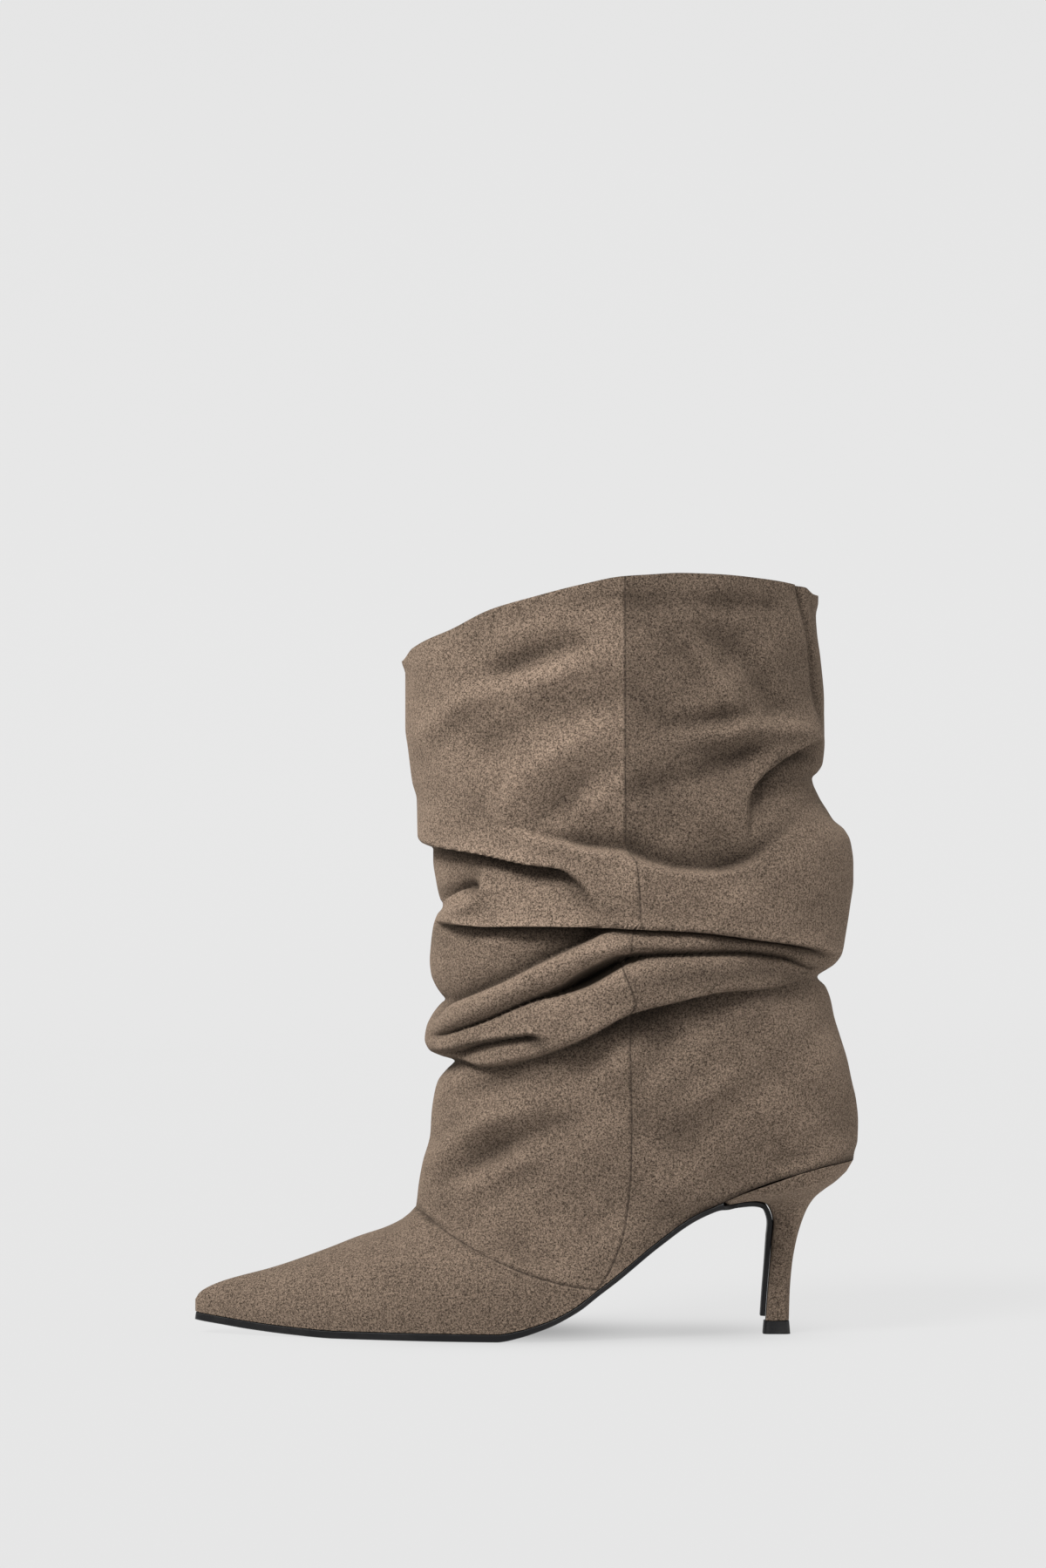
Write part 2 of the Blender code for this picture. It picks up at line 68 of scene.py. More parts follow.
TOE_X = HEEL_OVERHANG - FOOT_LENGTH
FEATHER_FLOOR = SOLE_THICKNESS + FIT_GAP

SHANK_THICKNESS = 0.0019
TREAD_BACK = 0.460
SHANK_START = 0.560
SOLE_ROUND = 0.0003
SOLE_DRAW_IN = 0.0005
EDGES_ACROSS = 6          # narrowest sole, in widths of its drawn-in edge
SEAT_LENGTH = 0.0495
SEAT_EDGE = 0.0004
SEAT_FRONT_X = HEEL_OVERHANG - SEAT_LENGTH
LIFT_LENGTH = 0.0095
LIFT_WIDTH = 0.0090
LIFT_HEIGHT = 0.0048
BLOCK_FRONT_POWER = 5
BLOCK_BACK_POWER = 2.2
SEAT_FRONT_POWER = 16     # squarer corners where the block meets the end of the sole
FLAP_SHARE = 0.85
FLAP_ORDER = 0.16         # where the flap ends, in rows of the heel block's table

# How finely the sole and the heel are cut
TREAD_STATIONS = 44
SHANK_STATIONS = 60
SHANK_STEP = 0.0011
SOLE_SPANS = 6
SOLE_SMOOTH_ANGLE = 40    # degrees up to which its faces are shaded as one
CORNER_SPREAD = 0.0036    # how softly the shank runs into the flap, and over what length
CORNER_REACH = 0.009
HEEL_RINGS = 54
HEEL_POINTS = 44

# How finely the upper is cut
SEAM_SHARE = 0.45         # share of each side's turn that the vamp seam takes
FRONT_COLUMNS = 76        # on each side, in front of the vamp seam's end
OUTER_COLUMNS = 84        # behind it, on the outer side
INNER_COLUMNS = 64        # behind it, on the inner side
LEG_ROWS = 208
VAMP_ROWS = 44
NOSE_ROWS = 3             # rows over which the lining's tip grows to its width
RIM_SPLIT = 0.2           # height between the collar's rim and the foot's

# The camera
EYE = Vector((-0.0953, -2.2, 0.2066))
FRAME_HEIGHT = 0.59007    # of the picture, at the middle of the boot
SENSOR = 36.0

Feather = namedtuple("Feather", "along spring rise outer inner bend")
FEATHER = [Feather(*row) for row in (
    (0, 1, 0, 0.09, 0.085, 0.09), (0.04, 0.74, 0, 0.195, 0.18, 0.083),
    (0.08, 0.5, 0, 0.33, 0.305, 0.075), (0.15, 0.18, 0, 0.51, 0.47, 0.062),
    (0.217, 0, 0, 0.66, 0.61, 0.05), (0.3, 0, 0, 0.815, 0.755, 0.03), (0.38, 0, 0, 0.93, 0.85, 0.012),
    (0.46, 0, 0, 0.99, 0.88, 0), (0.49, 0, 0.02, 1, 0.875, 0), (0.52, 0, 0.054, 0.995, 0.855, 0),
    (0.544, 0, 0.089, 0.985, 0.835, 0), (0.578, 0, 0.161, 0.955, 0.795, 0),
    (0.607, 0, 0.249, 0.925, 0.76, 0), (0.636, 0, 0.335, 0.895, 0.725, 0),
    (0.697, 0, 0.531, 0.825, 0.665, 0), (0.754, 0, 0.688, 0.765, 0.645, 0),
    (0.802, 0, 0.772, 0.73, 0.65, 0), (0.843, 0, 0.844, 0.71, 0.655, 0),
    (0.899, 0, 0.917, 0.68, 0.645, 0), (0.958, 0, 0.978, 0.68, 0.645, 0), (1, 0, 1, 0.68, 0.645, 0))]
Ridge = namedtuple("Ridge", "along height fullness")
RIDGE = [Ridge(*row) for row in (
    (0, 0.262, 0.9), (0.02, 0.315, 0.9), (0.06, 0.36, 0.9), (0.13, 0.41, 0.9), (0.36, 0.52, 0.86),
    (0.59, 0.66, 0.83), (0.74, 0.763, 0.8), (0.87, 0.84, 0.77), (0.96, 0.925, 0.74), (1, 1, 0.72),
    (1.11, 1.01, 0.7), (1.25, 1.055, 0.7), (1.41, 1.19, 0.7), (1.61, 1.42, 0.7), (1.84, 1.7, 0.7))]

# Outline of the leg at the front and at the back: height and place along the boot, both in mm
Outline = namedtuple("Outline", "z x")
FRONT_LINE = [Outline(*row) for row in (
    (48, -134.3), (56, -134.0), (64, -133.0), (75, -130.2), (83, -129.7), (90, -128.7), (95, -127.3),
    (99.5, -123.8), (102.8, -120.5), (104.6, -126.5), (106.7, -130.7), (110.7, -132.3), (115, -131.7),
    (119.5, -129.7), (124, -126.3), (125.6, -124.5), (128, -126.3), (131.3, -128.4), (135.3, -129.9),
    (140, -130.4), (147, -129.9), (153, -129.1), (157.5, -127.6), (160.9, -125.1), (163.5, -126.5),
    (170.7, -128.1), (178, -129.1), (182.6, -129.1), (184.4, -133.3), (187, -135.0), (201, -135.3),
    (207, -136.9), (220, -138.6), (228, -139.6), (248, -139.6), (253, -141.0), (290, -141.0))]
BACK_LINE = [Outline(*row) for row in (
    (64, 29.0), (67.7, 30.3), (72, 31.2), (79.5, 31.0), (88, 30.0), (95, 28.4), (103, 26.7),
    (111.5, 24.1), (119, 21.8), (126, 20.3), (130.5, 18.5), (134.5, 15.0), (136.6, 18.5), (139, 22.1),
    (143, 24.8), (150, 26.1), (161.5, 27.9), (170.5, 29.0), (176.6, 29.0), (185, 27.9), (189.7, 25.4),
    (193, 21.5), (196.6, 19.2), (202, 15.9), (208.8, 13.4), (211.4, 15.9), (214.6, 17.5), (223, 18.2),
    (238, 18.0), (254, 16.6), (263.5, 15.3), (270, 14.9), (275, 15.8), (290, 15.8))]
ENVELOPE_SPREAD = 11 * MM
OUTLINE_DEGREES = 19      # how far round the leg its front and back outlines reach
FOOT_HELD = 7 * MM        # height above the foot at which the folds get their full depth
FOLD_FOOT = (0.106, 0.112, 0.135, 0.133)    # height of the lowest fold, from the front to the back
OVAL_FROM = 0.45          # share of that height at which the leg has its full oval
OVAL_POWER = 3.2
SEAT_SEAM_SHADOW = 1.6 * MM      # dark line of the seam over the seat and the shank, partly painted shadow under the upper's edge
SEAT_SEAM_SHADOW_DARK = 0.8
SEAT_SEAM_SHADOW_FROM = 0.03     # height of the foot's edge at which that line begins, and how softly
SEAT_SEAM_SHADOW_EASE = 0.02
Breadth = namedtuple("Breadth", "z y")
BREADTH = [Breadth(*row) for row in (
    (15, 33), (45, 34.5), (55, 35.3), (75, 37.5), (90, 40), (105, 42), (120, 43.5), (135, 44.5),
    (150, 46), (165, 46.5), (184, 46), (205, 46), (228, 45.5), (253, 44.5), (290, 44))]
COLLAR_MIDDLE = -0.062    # the collar's oval: its middle, half its length and half its width
COLLAR_HALF_LENGTH = 0.079
COLLAR_HALF_WIDTH = 0.0445
Collar = namedtuple("Collar", "x z")
COLLAR = [Collar(*row) for row in (
    (-145, 250.5), (-141.0, 252.7), (-137.3, 257.6), (-121.5, 265.5), (-106.8, 272.4), (-89.1, 277.6),
    (-71.7, 282.0), (-57.6, 284.8), (-46.7, 285.5), (-35.6, 286.1), (-24.8, 285.8), (-6.1, 284.2),
    (13.0, 280.6), (15.6, 278.0), (22, 276))]

# Lines on the outer side: place along the boot, height, and strength where it isn't 1
Mark = namedtuple("Mark", "x z strength", defaults=(1,))


def marks(*rows):
    """A line through the rows, from the toe's side to the back."""
    return [Mark(*row) for row in rows]


CUFF_LIP = marks(
    (-133, 184.1), (-115, 181.8), (-95.3, 177.6), (-82.2, 175.6, 0.85), (-74.9, 170.4, 0.5),
    (-69.7, 163.8, 0.3), (-66.4, 158.6, 0.1))
CUFF_VALLEY = marks(
    (-98.6, 189.4, 0.15), (-82.2, 185.1, 0.8), (-69, 182.2, 1.1), (-58.5, 181.2, 1.1),
    (-49.4, 177.6, 1.1), (-36.2, 174.3), (-23.1, 173.6), (-10, 176.9, 0.7), (3.1, 186.8, 0.25),
    (13, 195, 0.05))
PINCH = marks(
    (-129, 161, 0.7), (-124.8, 163), (-120.5, 165.6), (-116, 167.4), (-113.5, 166.6, 0.6),
    (-111, 164, 0.1))
BELT_LIP = marks(
    (-128.1, 154.9, 0.8), (-107.1, 154), (-82.2, 154), (-55.9, 153), (-31, 152),
    (-6.1, 149), (13.9, 146.1), (19.8, 143.1, 0.8))
ROLL_TOP = marks(
    (-129.1, 116.9, 0.5), (-122.2, 124.1), (-115, 127.1), (-103.2, 132), (-89.1, 139.2),
    (-72, 147.1), (-64.1, 151, 0.8), (-57.9, 152.5, 0.3), (-31, 151, 0.2), (13.9, 145.1, 0.2))
ROLL_LIP = marks(
    (-126.1, 112.6, 0.4), (-110, 118.2, 0.7), (-94, 125.1, 0.9), (-83.1, 130, 1.2), (-70, 137.9, 1.3),
    (-58.5, 142.2, 1.1), (-46.1, 143.1, 0.8), (-13.3, 143.8, 0.7), (3.1, 142.2, 0.6), (13, 137.9, 0.4))
LOW_ROLL_TOP = marks(
    (-126.1, 111.3, 0.3), (-110, 116.9, 0.5), (-94, 123.8, 0.7), (-88.7, 125.4, 0.9), (-81.2, 127.1),
    (-72, 130), (-62.5, 134.9), (-56, 138.6, 0.8), (-46.1, 141, 0.6), (-13.3, 141.9, 0.5),
    (3.1, 140.4, 0.45), (13, 136.8, 0.3))
SLOT = marks(
    (-128.1, 105.7, 0.7), (-118.9, 107.1), (-113, 109), (-96.9, 112), (-92, 112.6, 0.9),
    (-88.1, 110.7, 0.2))
LOW_LIP = marks(
    (-123.2, 104.1, 0.4), (-111, 100.8, 0.45), (-92, 104.1, 0.5), (-81.2, 108, 0.75), (-72, 112),
    (-54, 121.2), (-37.9, 125.1, 0.8), (-18.9, 129, 0.6), (-3.1, 130, 0.35), (10, 133, 0.1))
BACK_FLAP = marks(
    (-11, 197.9, 0), (-8, 206.1, 0.7), (-2.1, 213), (6.4, 218.9), (14.9, 223.5, 0.8))

LINE_FADE = 5 * MM        # length over which a line's strength fades past its ends
STEEP_REACH = 12 * MM     # height past which a steep line no longer works

# A step: the surface above its line stands over, the surface below stands under, both in mm and
# fading over their widths. soft: half the height of the turn between them. droop: how far its lip hangs.
DROOP_WIDTH = 1.3 * MM
RIM_LIGHT = 0.20          # painted highlight on the rim of a lip: how much paler it is, how far above its line, how wide
RIM_HEIGHT = 1.3 * MM
RIM_WIDTH = 0.9 * MM
Step = namedtuple("Step", "line over over_width under under_width soft droop")
STEPS = [
    Step(CUFF_LIP, 2.2, 10, -5.4, 8, 0.8, 1.8),
    Step(CUFF_VALLEY, -4.4, 11, 2.4, 8, 1.6, 0.0),
    Step(PINCH, -6.5, 4.5, 2.0, 5, 0.8, 0.0),
    Step(BELT_LIP, 1.8, 10, -5.6, 8, 0.8, 1.8),
    Step(ROLL_TOP, -5.0, 9, 0.0, 4, 0.8, 0.0),
    Step(LOW_ROLL_TOP, -2.0, 4, 0.0, 4, 0.7, 0.0),
    Step(SLOT, 1.0, 4, -5.0, 3.0, 0.7, 0.5),
    Step(LOW_LIP, 1.8, 6, -5.6, 12, 0.9, 1.6),
    Step(BACK_FLAP, 1.6, 7, -5.2, 7, 0.8, 1.2),
]
# A roll: a rounded swelling between two lines, or a gap where its height is negative
ROLL_LEAST = 0.3 * MM     # narrowest roll that is reckoned with, and the width of a full one
ROLL_FULL = 4 * MM
ROLL_POWER = 0.6          # 0.5 is a round section, more is flatter at its edges
GAP_DARK = 0.94           # share of the light that is lost in the gap between the low rolls
Roll = namedtuple("Roll", "top bottom height")
ROLLS = [
    Roll(ROLL_TOP, ROLL_LIP, 3.6),
    Roll(LOW_ROLL_TOP, LOW_LIP, 3.6),
    Roll(ROLL_LIP, LOW_ROLL_TOP, -9.0),
]
# A swell: a soft ridge, or a trough where its height is negative. Height and width in mm, then its line.
Swell = namedtuple("Swell", "line height width")
SWELL_GAIN = 2.1
SWELLS = [Swell(marks(*line), height, width) for height, width, *line in (
    (1.1, 2.5, (-125.5, 158.6, 0.5), (-118.2, 159.5), (-113, 161.8), (-109.7, 166.4, 0.4)),
    (1.1, 5, (-137.9, 221.2, 0.6), (-124.8, 232.7), (-113.3, 239.2), (-95.3, 244.2),
     (-78.9, 249.1), (-65.8, 255.6, 0.6)),
    (-0.9, 4, (-115, 246.5, 0.5), (-95.3, 253.3), (-75.6, 259.9, 0.7)),
    (-1, 7, (-108.4, 222.8, 0.7), (-88.7, 231), (-62.5, 240.9, 0.8)),
    (1.5, 6, (-103.5, 199.9, 0.5), (-95.3, 209.1), (-82.2, 217.9), (-69, 226.1, 0.6)),
    (-1.2, 6, (-88.7, 194, 0.6), (-75.6, 203.8), (-60.8, 213, 0.8)),
    (-0.5, 4, (-108.4, 267.1, 0.6), (-88.7, 272), (-72.3, 275.3, 0.7)),
    (-0.8, 4, (-57.6, 275.3, 0.5), (-29.7, 274.7), (-3.4, 273.7)),
    (1.2, 3, (-33, 260.6, 0.5), (-24.8, 249.1), (-18.2, 239.2), (-12.6, 229.4, 0.7)),
    (-1.2, 5, (-21.5, 262.2, 0.7), (-10, 250.7), (-0.2, 236, 0.8)),
    (-1, 3.5, (-37.9, 229.4, 0.7), (-16.6, 232)),
    (1.3, 4, (-33, 223.5, 0.6), (-13.3, 225.8), (3.1, 227.4), (13, 225.5, 0.6)),
    (-1, 5, (-55.9, 203.2, 0.7), (-29.7, 209.7), (-10, 218.9, 0.8)),
    (1, 4, (-128.1, 68.7, 0.6), (-115, 76.2), (-95.3, 84.4, 0.7)),
    (-1.2, 4, (-124.8, 58.8, 0.6), (-105.1, 68.7), (-82.2, 78.5, 0.7)),
    (1, 4, (-113.3, 54.9, 0.6), (-95.3, 64.7)),
    (-0.8, 6, (-55.9, 87.7, 0.6), (-48.7, 99.8), (-40.2, 109.7, 0.8)),
    (0.8, 5, (-42.8, 80.2, 0.6), (-19.8, 94.9)),
    (-0.9, 4, (-128.1, 86.7, 0.6), (-108.4, 93.3), (-88.7, 96.6, 0.7)),
    (0.5, 6, (-154.3, 16.2, 0.6), (-128.1, 29.3), (-108.4, 35.9, 0.5)))]

# A shade: share of the light that a place deep in the folds loses, half that band's width, then its line
Shade = namedtuple("Shade", "line dark width")
SHADES = [Shade(marks(*line), dark, width) for dark, width, *line in (
    (0.2, 9, (-62.5, 108, 0.5), (-42.8, 114.6), (-19.8, 117.2), (3.1, 119.5, 0.7)),
    (0.13, 12, (-55.3, 99.8, 0.6), (-44.4, 94.9), (-29.7, 90, 0.5)),
    (0.62, 3.4, (-91.3, 149, 0.2), (-84.8, 148.1, 0.8), (-77.2, 149), (-69.7, 151.3, 0.8),
     (-62.5, 152.7, 0.2)),
    (0.35, 2.6, (-108.4, 133.6, 0.5), (-95.3, 139.9, 0.8), (-87.1, 143.5)),
    (0.75, 1.3, (-124.8, 106.4, 0.6), (-111.7, 109.7, 0.9), (-95.3, 111.3), (-90.4, 108.7, 0.7)),
    (0.5, 1.8, (-127, 166.4, 0.7), (-120.5, 168.4, 0.9), (-115.2, 167.4), (-112.6, 165.4, 0.6)),
    (0.5, 2.4, (-128.1, 181.5, 0.7), (-108.4, 177.9), (-95.3, 173.6), (-82.2, 171.7, 0.7),
     (-75.6, 166.4, 0.5), (-69, 159.9, 0.3)),
    (0.5, 1.2, (-124.1, 153, 0.5), (-95.3, 152.7, 0.7), (-59.9, 151.7, 0.8), (-29.7, 150.4, 0.8),
     (-0.2, 146.4, 0.8), (13, 142.8, 0.9)),
    (0.34, 4.5, (-88.7, 190, 0.3), (-72.3, 186.1, 0.8), (-57.6, 185.1), (-46.1, 181.5),
     (-33, 178.6), (-16.6, 178.6), (-3.4, 183.5, 0.7), (6.4, 190, 0.2)),
    (0.36, 3, (-69, 110.7, 0.6), (-46.1, 119.2), (-29.7, 123.1), (-13.3, 124.4, 0.8),
     (9.7, 127.7, 0.6)),
    (0.5, 2.5, (-6.1, 199.2, 0.4), (-3.4, 210.1, 0.9), (3.1, 216.6), (11.3, 216.9, 0.9)),
    (0.3, 4, (-128.1, 149), (-121.5, 144.1, 0.3)),
    (0.5, 1.1, (-93, 112.4, 0.5), (-90.5, 111.8), (-88.6, 110.2), (-87.6, 107.6, 0.7),
     (-87.2, 105.6, 0.2)),
    (0.46, 4.8, (-51, 133.6, 0.6), (-29.7, 134.9), (-3.4, 135.3), (11.3, 134, 0.8)),
    (0.18, 2.4, (-58, 149.5, 0.4), (-46, 148.5), (-13.3, 147), (10, 142.5, 0.6)),
    (0.25, 5, (-75.6, 121.2, 0.6), (-59.2, 127.7), (-49.4, 131.7, 0.6)))]

# Rows and columns to each side over which a place is compared with what is round it, for the painted
# highlights on its crests and painted shade in its creases
FINE_BLUR = (5, 4)
BROAD_BLUR = (16, 12)

# Slight unevenness of the whole leather: waves that run slantwise, sizes in mm
Wave = namedtuple("Wave", "height length_x length_z start")
WAVES = [
    Wave(0.50, 9.0, -7.0, 0.4),
    Wave(0.45, -13.0, -6.0, 1.9),
    Wave(0.32, 6.0, 5.0, 3.1),
    Wave(0.20, -4.0, 3.4, 0.9),
]
# The inner side: how far its folds stand out, and how far their lines stray up and down
INNER_RELIEF = 0.85
INNER_STRAY = 3.5 * MM
INNER_STRAY_LENGTH = 0.019
INNER_STRAY_START = 1.2

# The edge of the outer side along the back, where a groove parts it from the inner side
BACK_EDGE = [Outline(*row) for row in (
    (222, 18.0), (232, 16.6), (248, 14.3), (260, 12.4), (271, 10.3), (279, 9.6), (290, 9.0))]
BACK_EDGE_DEPTH = 1.9 * MM
BACK_EDGE_WIDTH = 1.0 * MM
BACK_EDGE_FROM = 0.222    # height at which the groove begins, and how softly
BACK_EDGE_EASE = 0.014

# Seams on each side: place along the boot and height
SIDE_SEAM = [Outline(*row) for row in (
    (15, -68.0), (24.1, -62.2), (41, -56.6), (61.8, -54.6), (81.8, -54.3), (106.4, -54.9), (120.2, -54.9),
    (122.5, -52.6), (131.7, -55.6), (139.9, -58.2), (143.5, -54.6), (152, -53.6), (153.3, -51.0),
    (175.9, -52.3), (183.5, -56.6), (284.8, -56.9))]
VAMP_SEAM = marks(
    (-136, 47.5), (-132.4, 45), (-123.8, 37.7), (-109.4, 29), (-100.5, 24.7),
    (-92.3, 21.4), (-77.9, 17.5), (-69, 16.2))

# Heel block from its foot up to the seat, as in the model's source
Block = namedtuple("Block", "order front back low high width")
BLOCK = [Block(order, *row) for order, row in enumerate((
    (0.013, 0.000, 0.000, 0.000, 0.000),
    (0.027, 0.006, 0.220, 0.165, 0.000),
    (0.045, 0.024, 0.460, 0.345, 0.010),
    (0.060, 0.061, 0.680, 0.510, 0.055),
    (0.070, 0.095, 0.800, 0.605, 0.110),
    (0.048, 0.140, 0.905, 0.695, 0.220),
    (-0.007, 0.198, 0.978, 0.765, 0.390),
    (-0.104, 0.270, 0.998, 0.815, 0.600),
    (-0.209, 0.355, 0.992, 0.865, 0.800),
    (-0.312, 0.440, 0.980, 0.930, 0.940)))]


# Curves through the tables

def smooth(rows, place, column, at):
    """Value of a table's column, by a cubic through the rows that never overshoots them."""
    places = [getattr(row, place) for row in rows]
    values = [getattr(row, column) for row in rows]
    at = min(max(at, places[0]), places[-1])
    low = 0
    while low < len(places) - 2 and at > places[low + 1]:
        low += 1
    slopes = [(values[i + 1] - values[i]) / (places[i + 1] - places[i]) for i in range(len(places) - 1)]

    def tangent(i):
        if i == 0:
            return slopes[0]
        if i == len(slopes):
            return slopes[-1]
        before, after = slopes[i - 1], slopes[i]
        return 0.0 if before * after <= 0 else 2 * before * after / (before + after)

    span = places[low + 1] - places[low]
    t = (at - places[low]) / span
    start, end = tangent(low) * span, tangent(low + 1) * span
    rise = values[low + 1] - values[low]
    return values[low] + t * (start + t * (3 * rise - 2 * start - end + t * (start + end - 2 * rise)))


DENSE = {}


def dense(rows, place, column, step=0.5):
    """Places and values of a column in metres, close together, for quick reading."""
    key = (id(rows), place, column)
    if key not in DENSE:
        first, last = getattr(rows[0], place), getattr(rows[-1], place)
        places = np.linspace(first, last, int((last - first) / step) + 2)
        values = np.array([smooth(rows, place, column, at) for at in places])
        DENSE[key] = places * MM, values * (1 if column == "strength" else MM)
    return DENSE[key]


def mix(a, b, share):
    return a + (b - a) * share


def ease(share):
    """0 at 0 and below, 1 at 1 and above, with a soft start and end."""
    share = np.clip(share, 0, 1)
    return share * share * (3 - 2 * share)


def bell(away, width):
    """1 at 0, fading to both sides over a width."""
    return np.exp(-(away / width) ** 2)


def around(front, fore, aft, back, angle):
    """Smooth closed curve through four values at 0, 60, 120 and 180 degrees from the front."""
    level = (front + 2 * fore + 2 * aft + back) / 6
    lean = (front + fore - aft - back) / 3
    pinch = (front - fore - aft + back) / 3
    skew = (front - 2 * fore + 2 * aft - back) / 6
    return level + lean * math.cos(angle) + pinch * math.cos(2 * angle) + skew * math.cos(3 * angle)


# The foot, as in the model's source

def feather(column, x):
    return smooth(FEATHER, "along", column, (x - TOE_X) / FOOT_LENGTH)


def feather_height(x):
    """Height of the edge where the upper meets what is under it."""
    rise = HEEL_HEIGHT - FEATHER_FLOOR
    return FEATHER_FLOOR + TOE_SPRING * feather("spring", x) + rise * feather("rise", x)


def end_round(x):
    """1 along the foot, falling to 0 round the toe tip and round the back of the seat."""
    toe = min(max((x - TOE_X) / TOE_ROUND, 0), 1)
    seat = min(max((HEEL_OVERHANG - x) / SEAT_ROUND, 0), 1)
    return math.sqrt(max(1 - (1 - toe) ** 2, 0)) * math.sqrt(max(1 - (1 - seat) ** 2, 0))


def half_width(x, side):
    """Feather edge's distance from the middle line: side -1 is the outer side, 1 the inner."""
    return BALL_WIDTH / 2 * feather("outer" if side < 0 else "inner", x) * end_round(x)


def middle(x):
    return BALL_WIDTH / 2 * feather("bend", x)


def vamp_point(x, arch, inset=0.0, narrow=1.0):
    """Point of the vamp above x: arch runs from 0 at the outer feather edge to pi at the inner."""
    along = (x - TOE_X) / VAMP_LENGTH
    top = INSTEP_HEIGHT * smooth(RIDGE, "along", "height", along) - inset
    fullness = smooth(RIDGE, "along", "fullness", along)
    side = -math.cos(arch)
    lift = math.sin(arch) if 0 < arch < math.pi else 0.0
    swell = 1 + ARCH_BULGE * (1 - (1 - lift) ** BULGE_POWER)
    foot = feather_height(x)
    y = middle(x) + side * max(half_width(x, side) - inset, 0) * swell * narrow
    return x, y, foot + (top - foot) * lift ** fullness


def seam_place(share):
    """Place along the foot and arch angle of the vamp seam: share 0 on the ridge, 1 on the sole."""
    along = mix(VAMP_LENGTH, VAMP_SEAM_END, 1 - math.cos(share * math.pi / 2))
    return TOE_X + along, math.pi / 2 * (1 - share) ** SEAM_SWEEP


def foot_point(share, side):
    """Lower edge of the leg: share 0 at the front of the instep, 1 at the back of the heel."""
    if share <= SEAM_SHARE:
        x, arch = seam_place(share / SEAM_SHARE)
        return vamp_point(x, arch if side < 0 else math.pi - arch)
    turn = (share - SEAM_SHARE) / (1 - SEAM_SHARE)
    x = mix(TOE_X + VAMP_SEAM_END, HEEL_OVERHANG, math.sin(turn * math.pi / 2))
    return x, side * half_width(x, side), feather_height(x)


# The leg's surface as arrays of rows by columns

def side_shares():
    """Share of its side's turn and the side, for each column round the leg, the first one twice."""
    outer = list(np.linspace(0, SEAM_SHARE, FRONT_COLUMNS + 1))
    outer += list(np.linspace(SEAM_SHARE, 1, OUTER_COLUMNS + 1)[1:])
    inner = list(np.linspace(1, SEAM_SHARE, INNER_COLUMNS + 1)[1:])
    inner += list(np.linspace(SEAM_SHARE, 0, FRONT_COLUMNS + 1)[1:])
    return [(share, -1) for share in outer] + [(share, 1) for share in inner]


def row_shares():
    """Share of the leg's height at each row, closer together in the folds."""
    where = np.array([0.0, 0.15, 0.68, 1.0])
    share_of_rows = np.array([0.0, 0.12, 0.78, 1.0])
    return np.interp(np.linspace(0, 1, LEG_ROWS + 1), share_of_rows, where)


def nearness(y):
    """How much larger the camera sees what stands at y than what stands in the boot's middle plane."""
    return EYE.y / (EYE.y + abs(y))


def seen_from_side(x, y, z):
    """Place and height in the boot's middle plane at which the camera sees a point of a side."""
    nearer = nearness(y)
    return (x - EYE.x) * nearer + EYE.x, (z - EYE.z) * nearer + EYE.z


def collar_height(x, y):
    """Height of the collar at a place, whose outline is given as seen from the camera's side."""
    seen, _ = seen_from_side(x, y, 0)
    return (smooth(COLLAR, "x", "z", seen / MM) * MM - EYE.z) / nearness(y) + EYE.z


def spread(values, places, width):
    """The same values, each blurred over a width along their places."""
    step = places[1] - places[0]
    reach = int(3 * width / step)
    weights = bell(np.arange(-reach, reach + 1) * step, width)
    padded = np.concatenate([np.full(reach, values[0]), values, np.full(reach, values[-1])])
    return np.convolve(padded, weights / weights.sum(), "valid")


def line_values(line, x):
    """Height, strength and slope of a line at places x, the strength fading past its ends."""
    places, heights = dense(line, "x", "z")
    strengths = dense(line, "x", "strength")[1]
    past = np.maximum(places[0] - x, 0) + np.maximum(x - places[-1], 0)
    strength = np.interp(x, places, strengths) * bell(past, LINE_FADE)
    slope = np.interp(x, places, np.gradient(heights, places))
    return np.interp(x, places, heights), strength, np.where(past > 0, 0, slope)


def above_line(line, x, z):
    """How far places x, z are above a line, at right angles to it, and the line's strength there."""
    height, strength, slope = line_values(line, x)
    return (z - height) / np.hypot(1, slope), strength


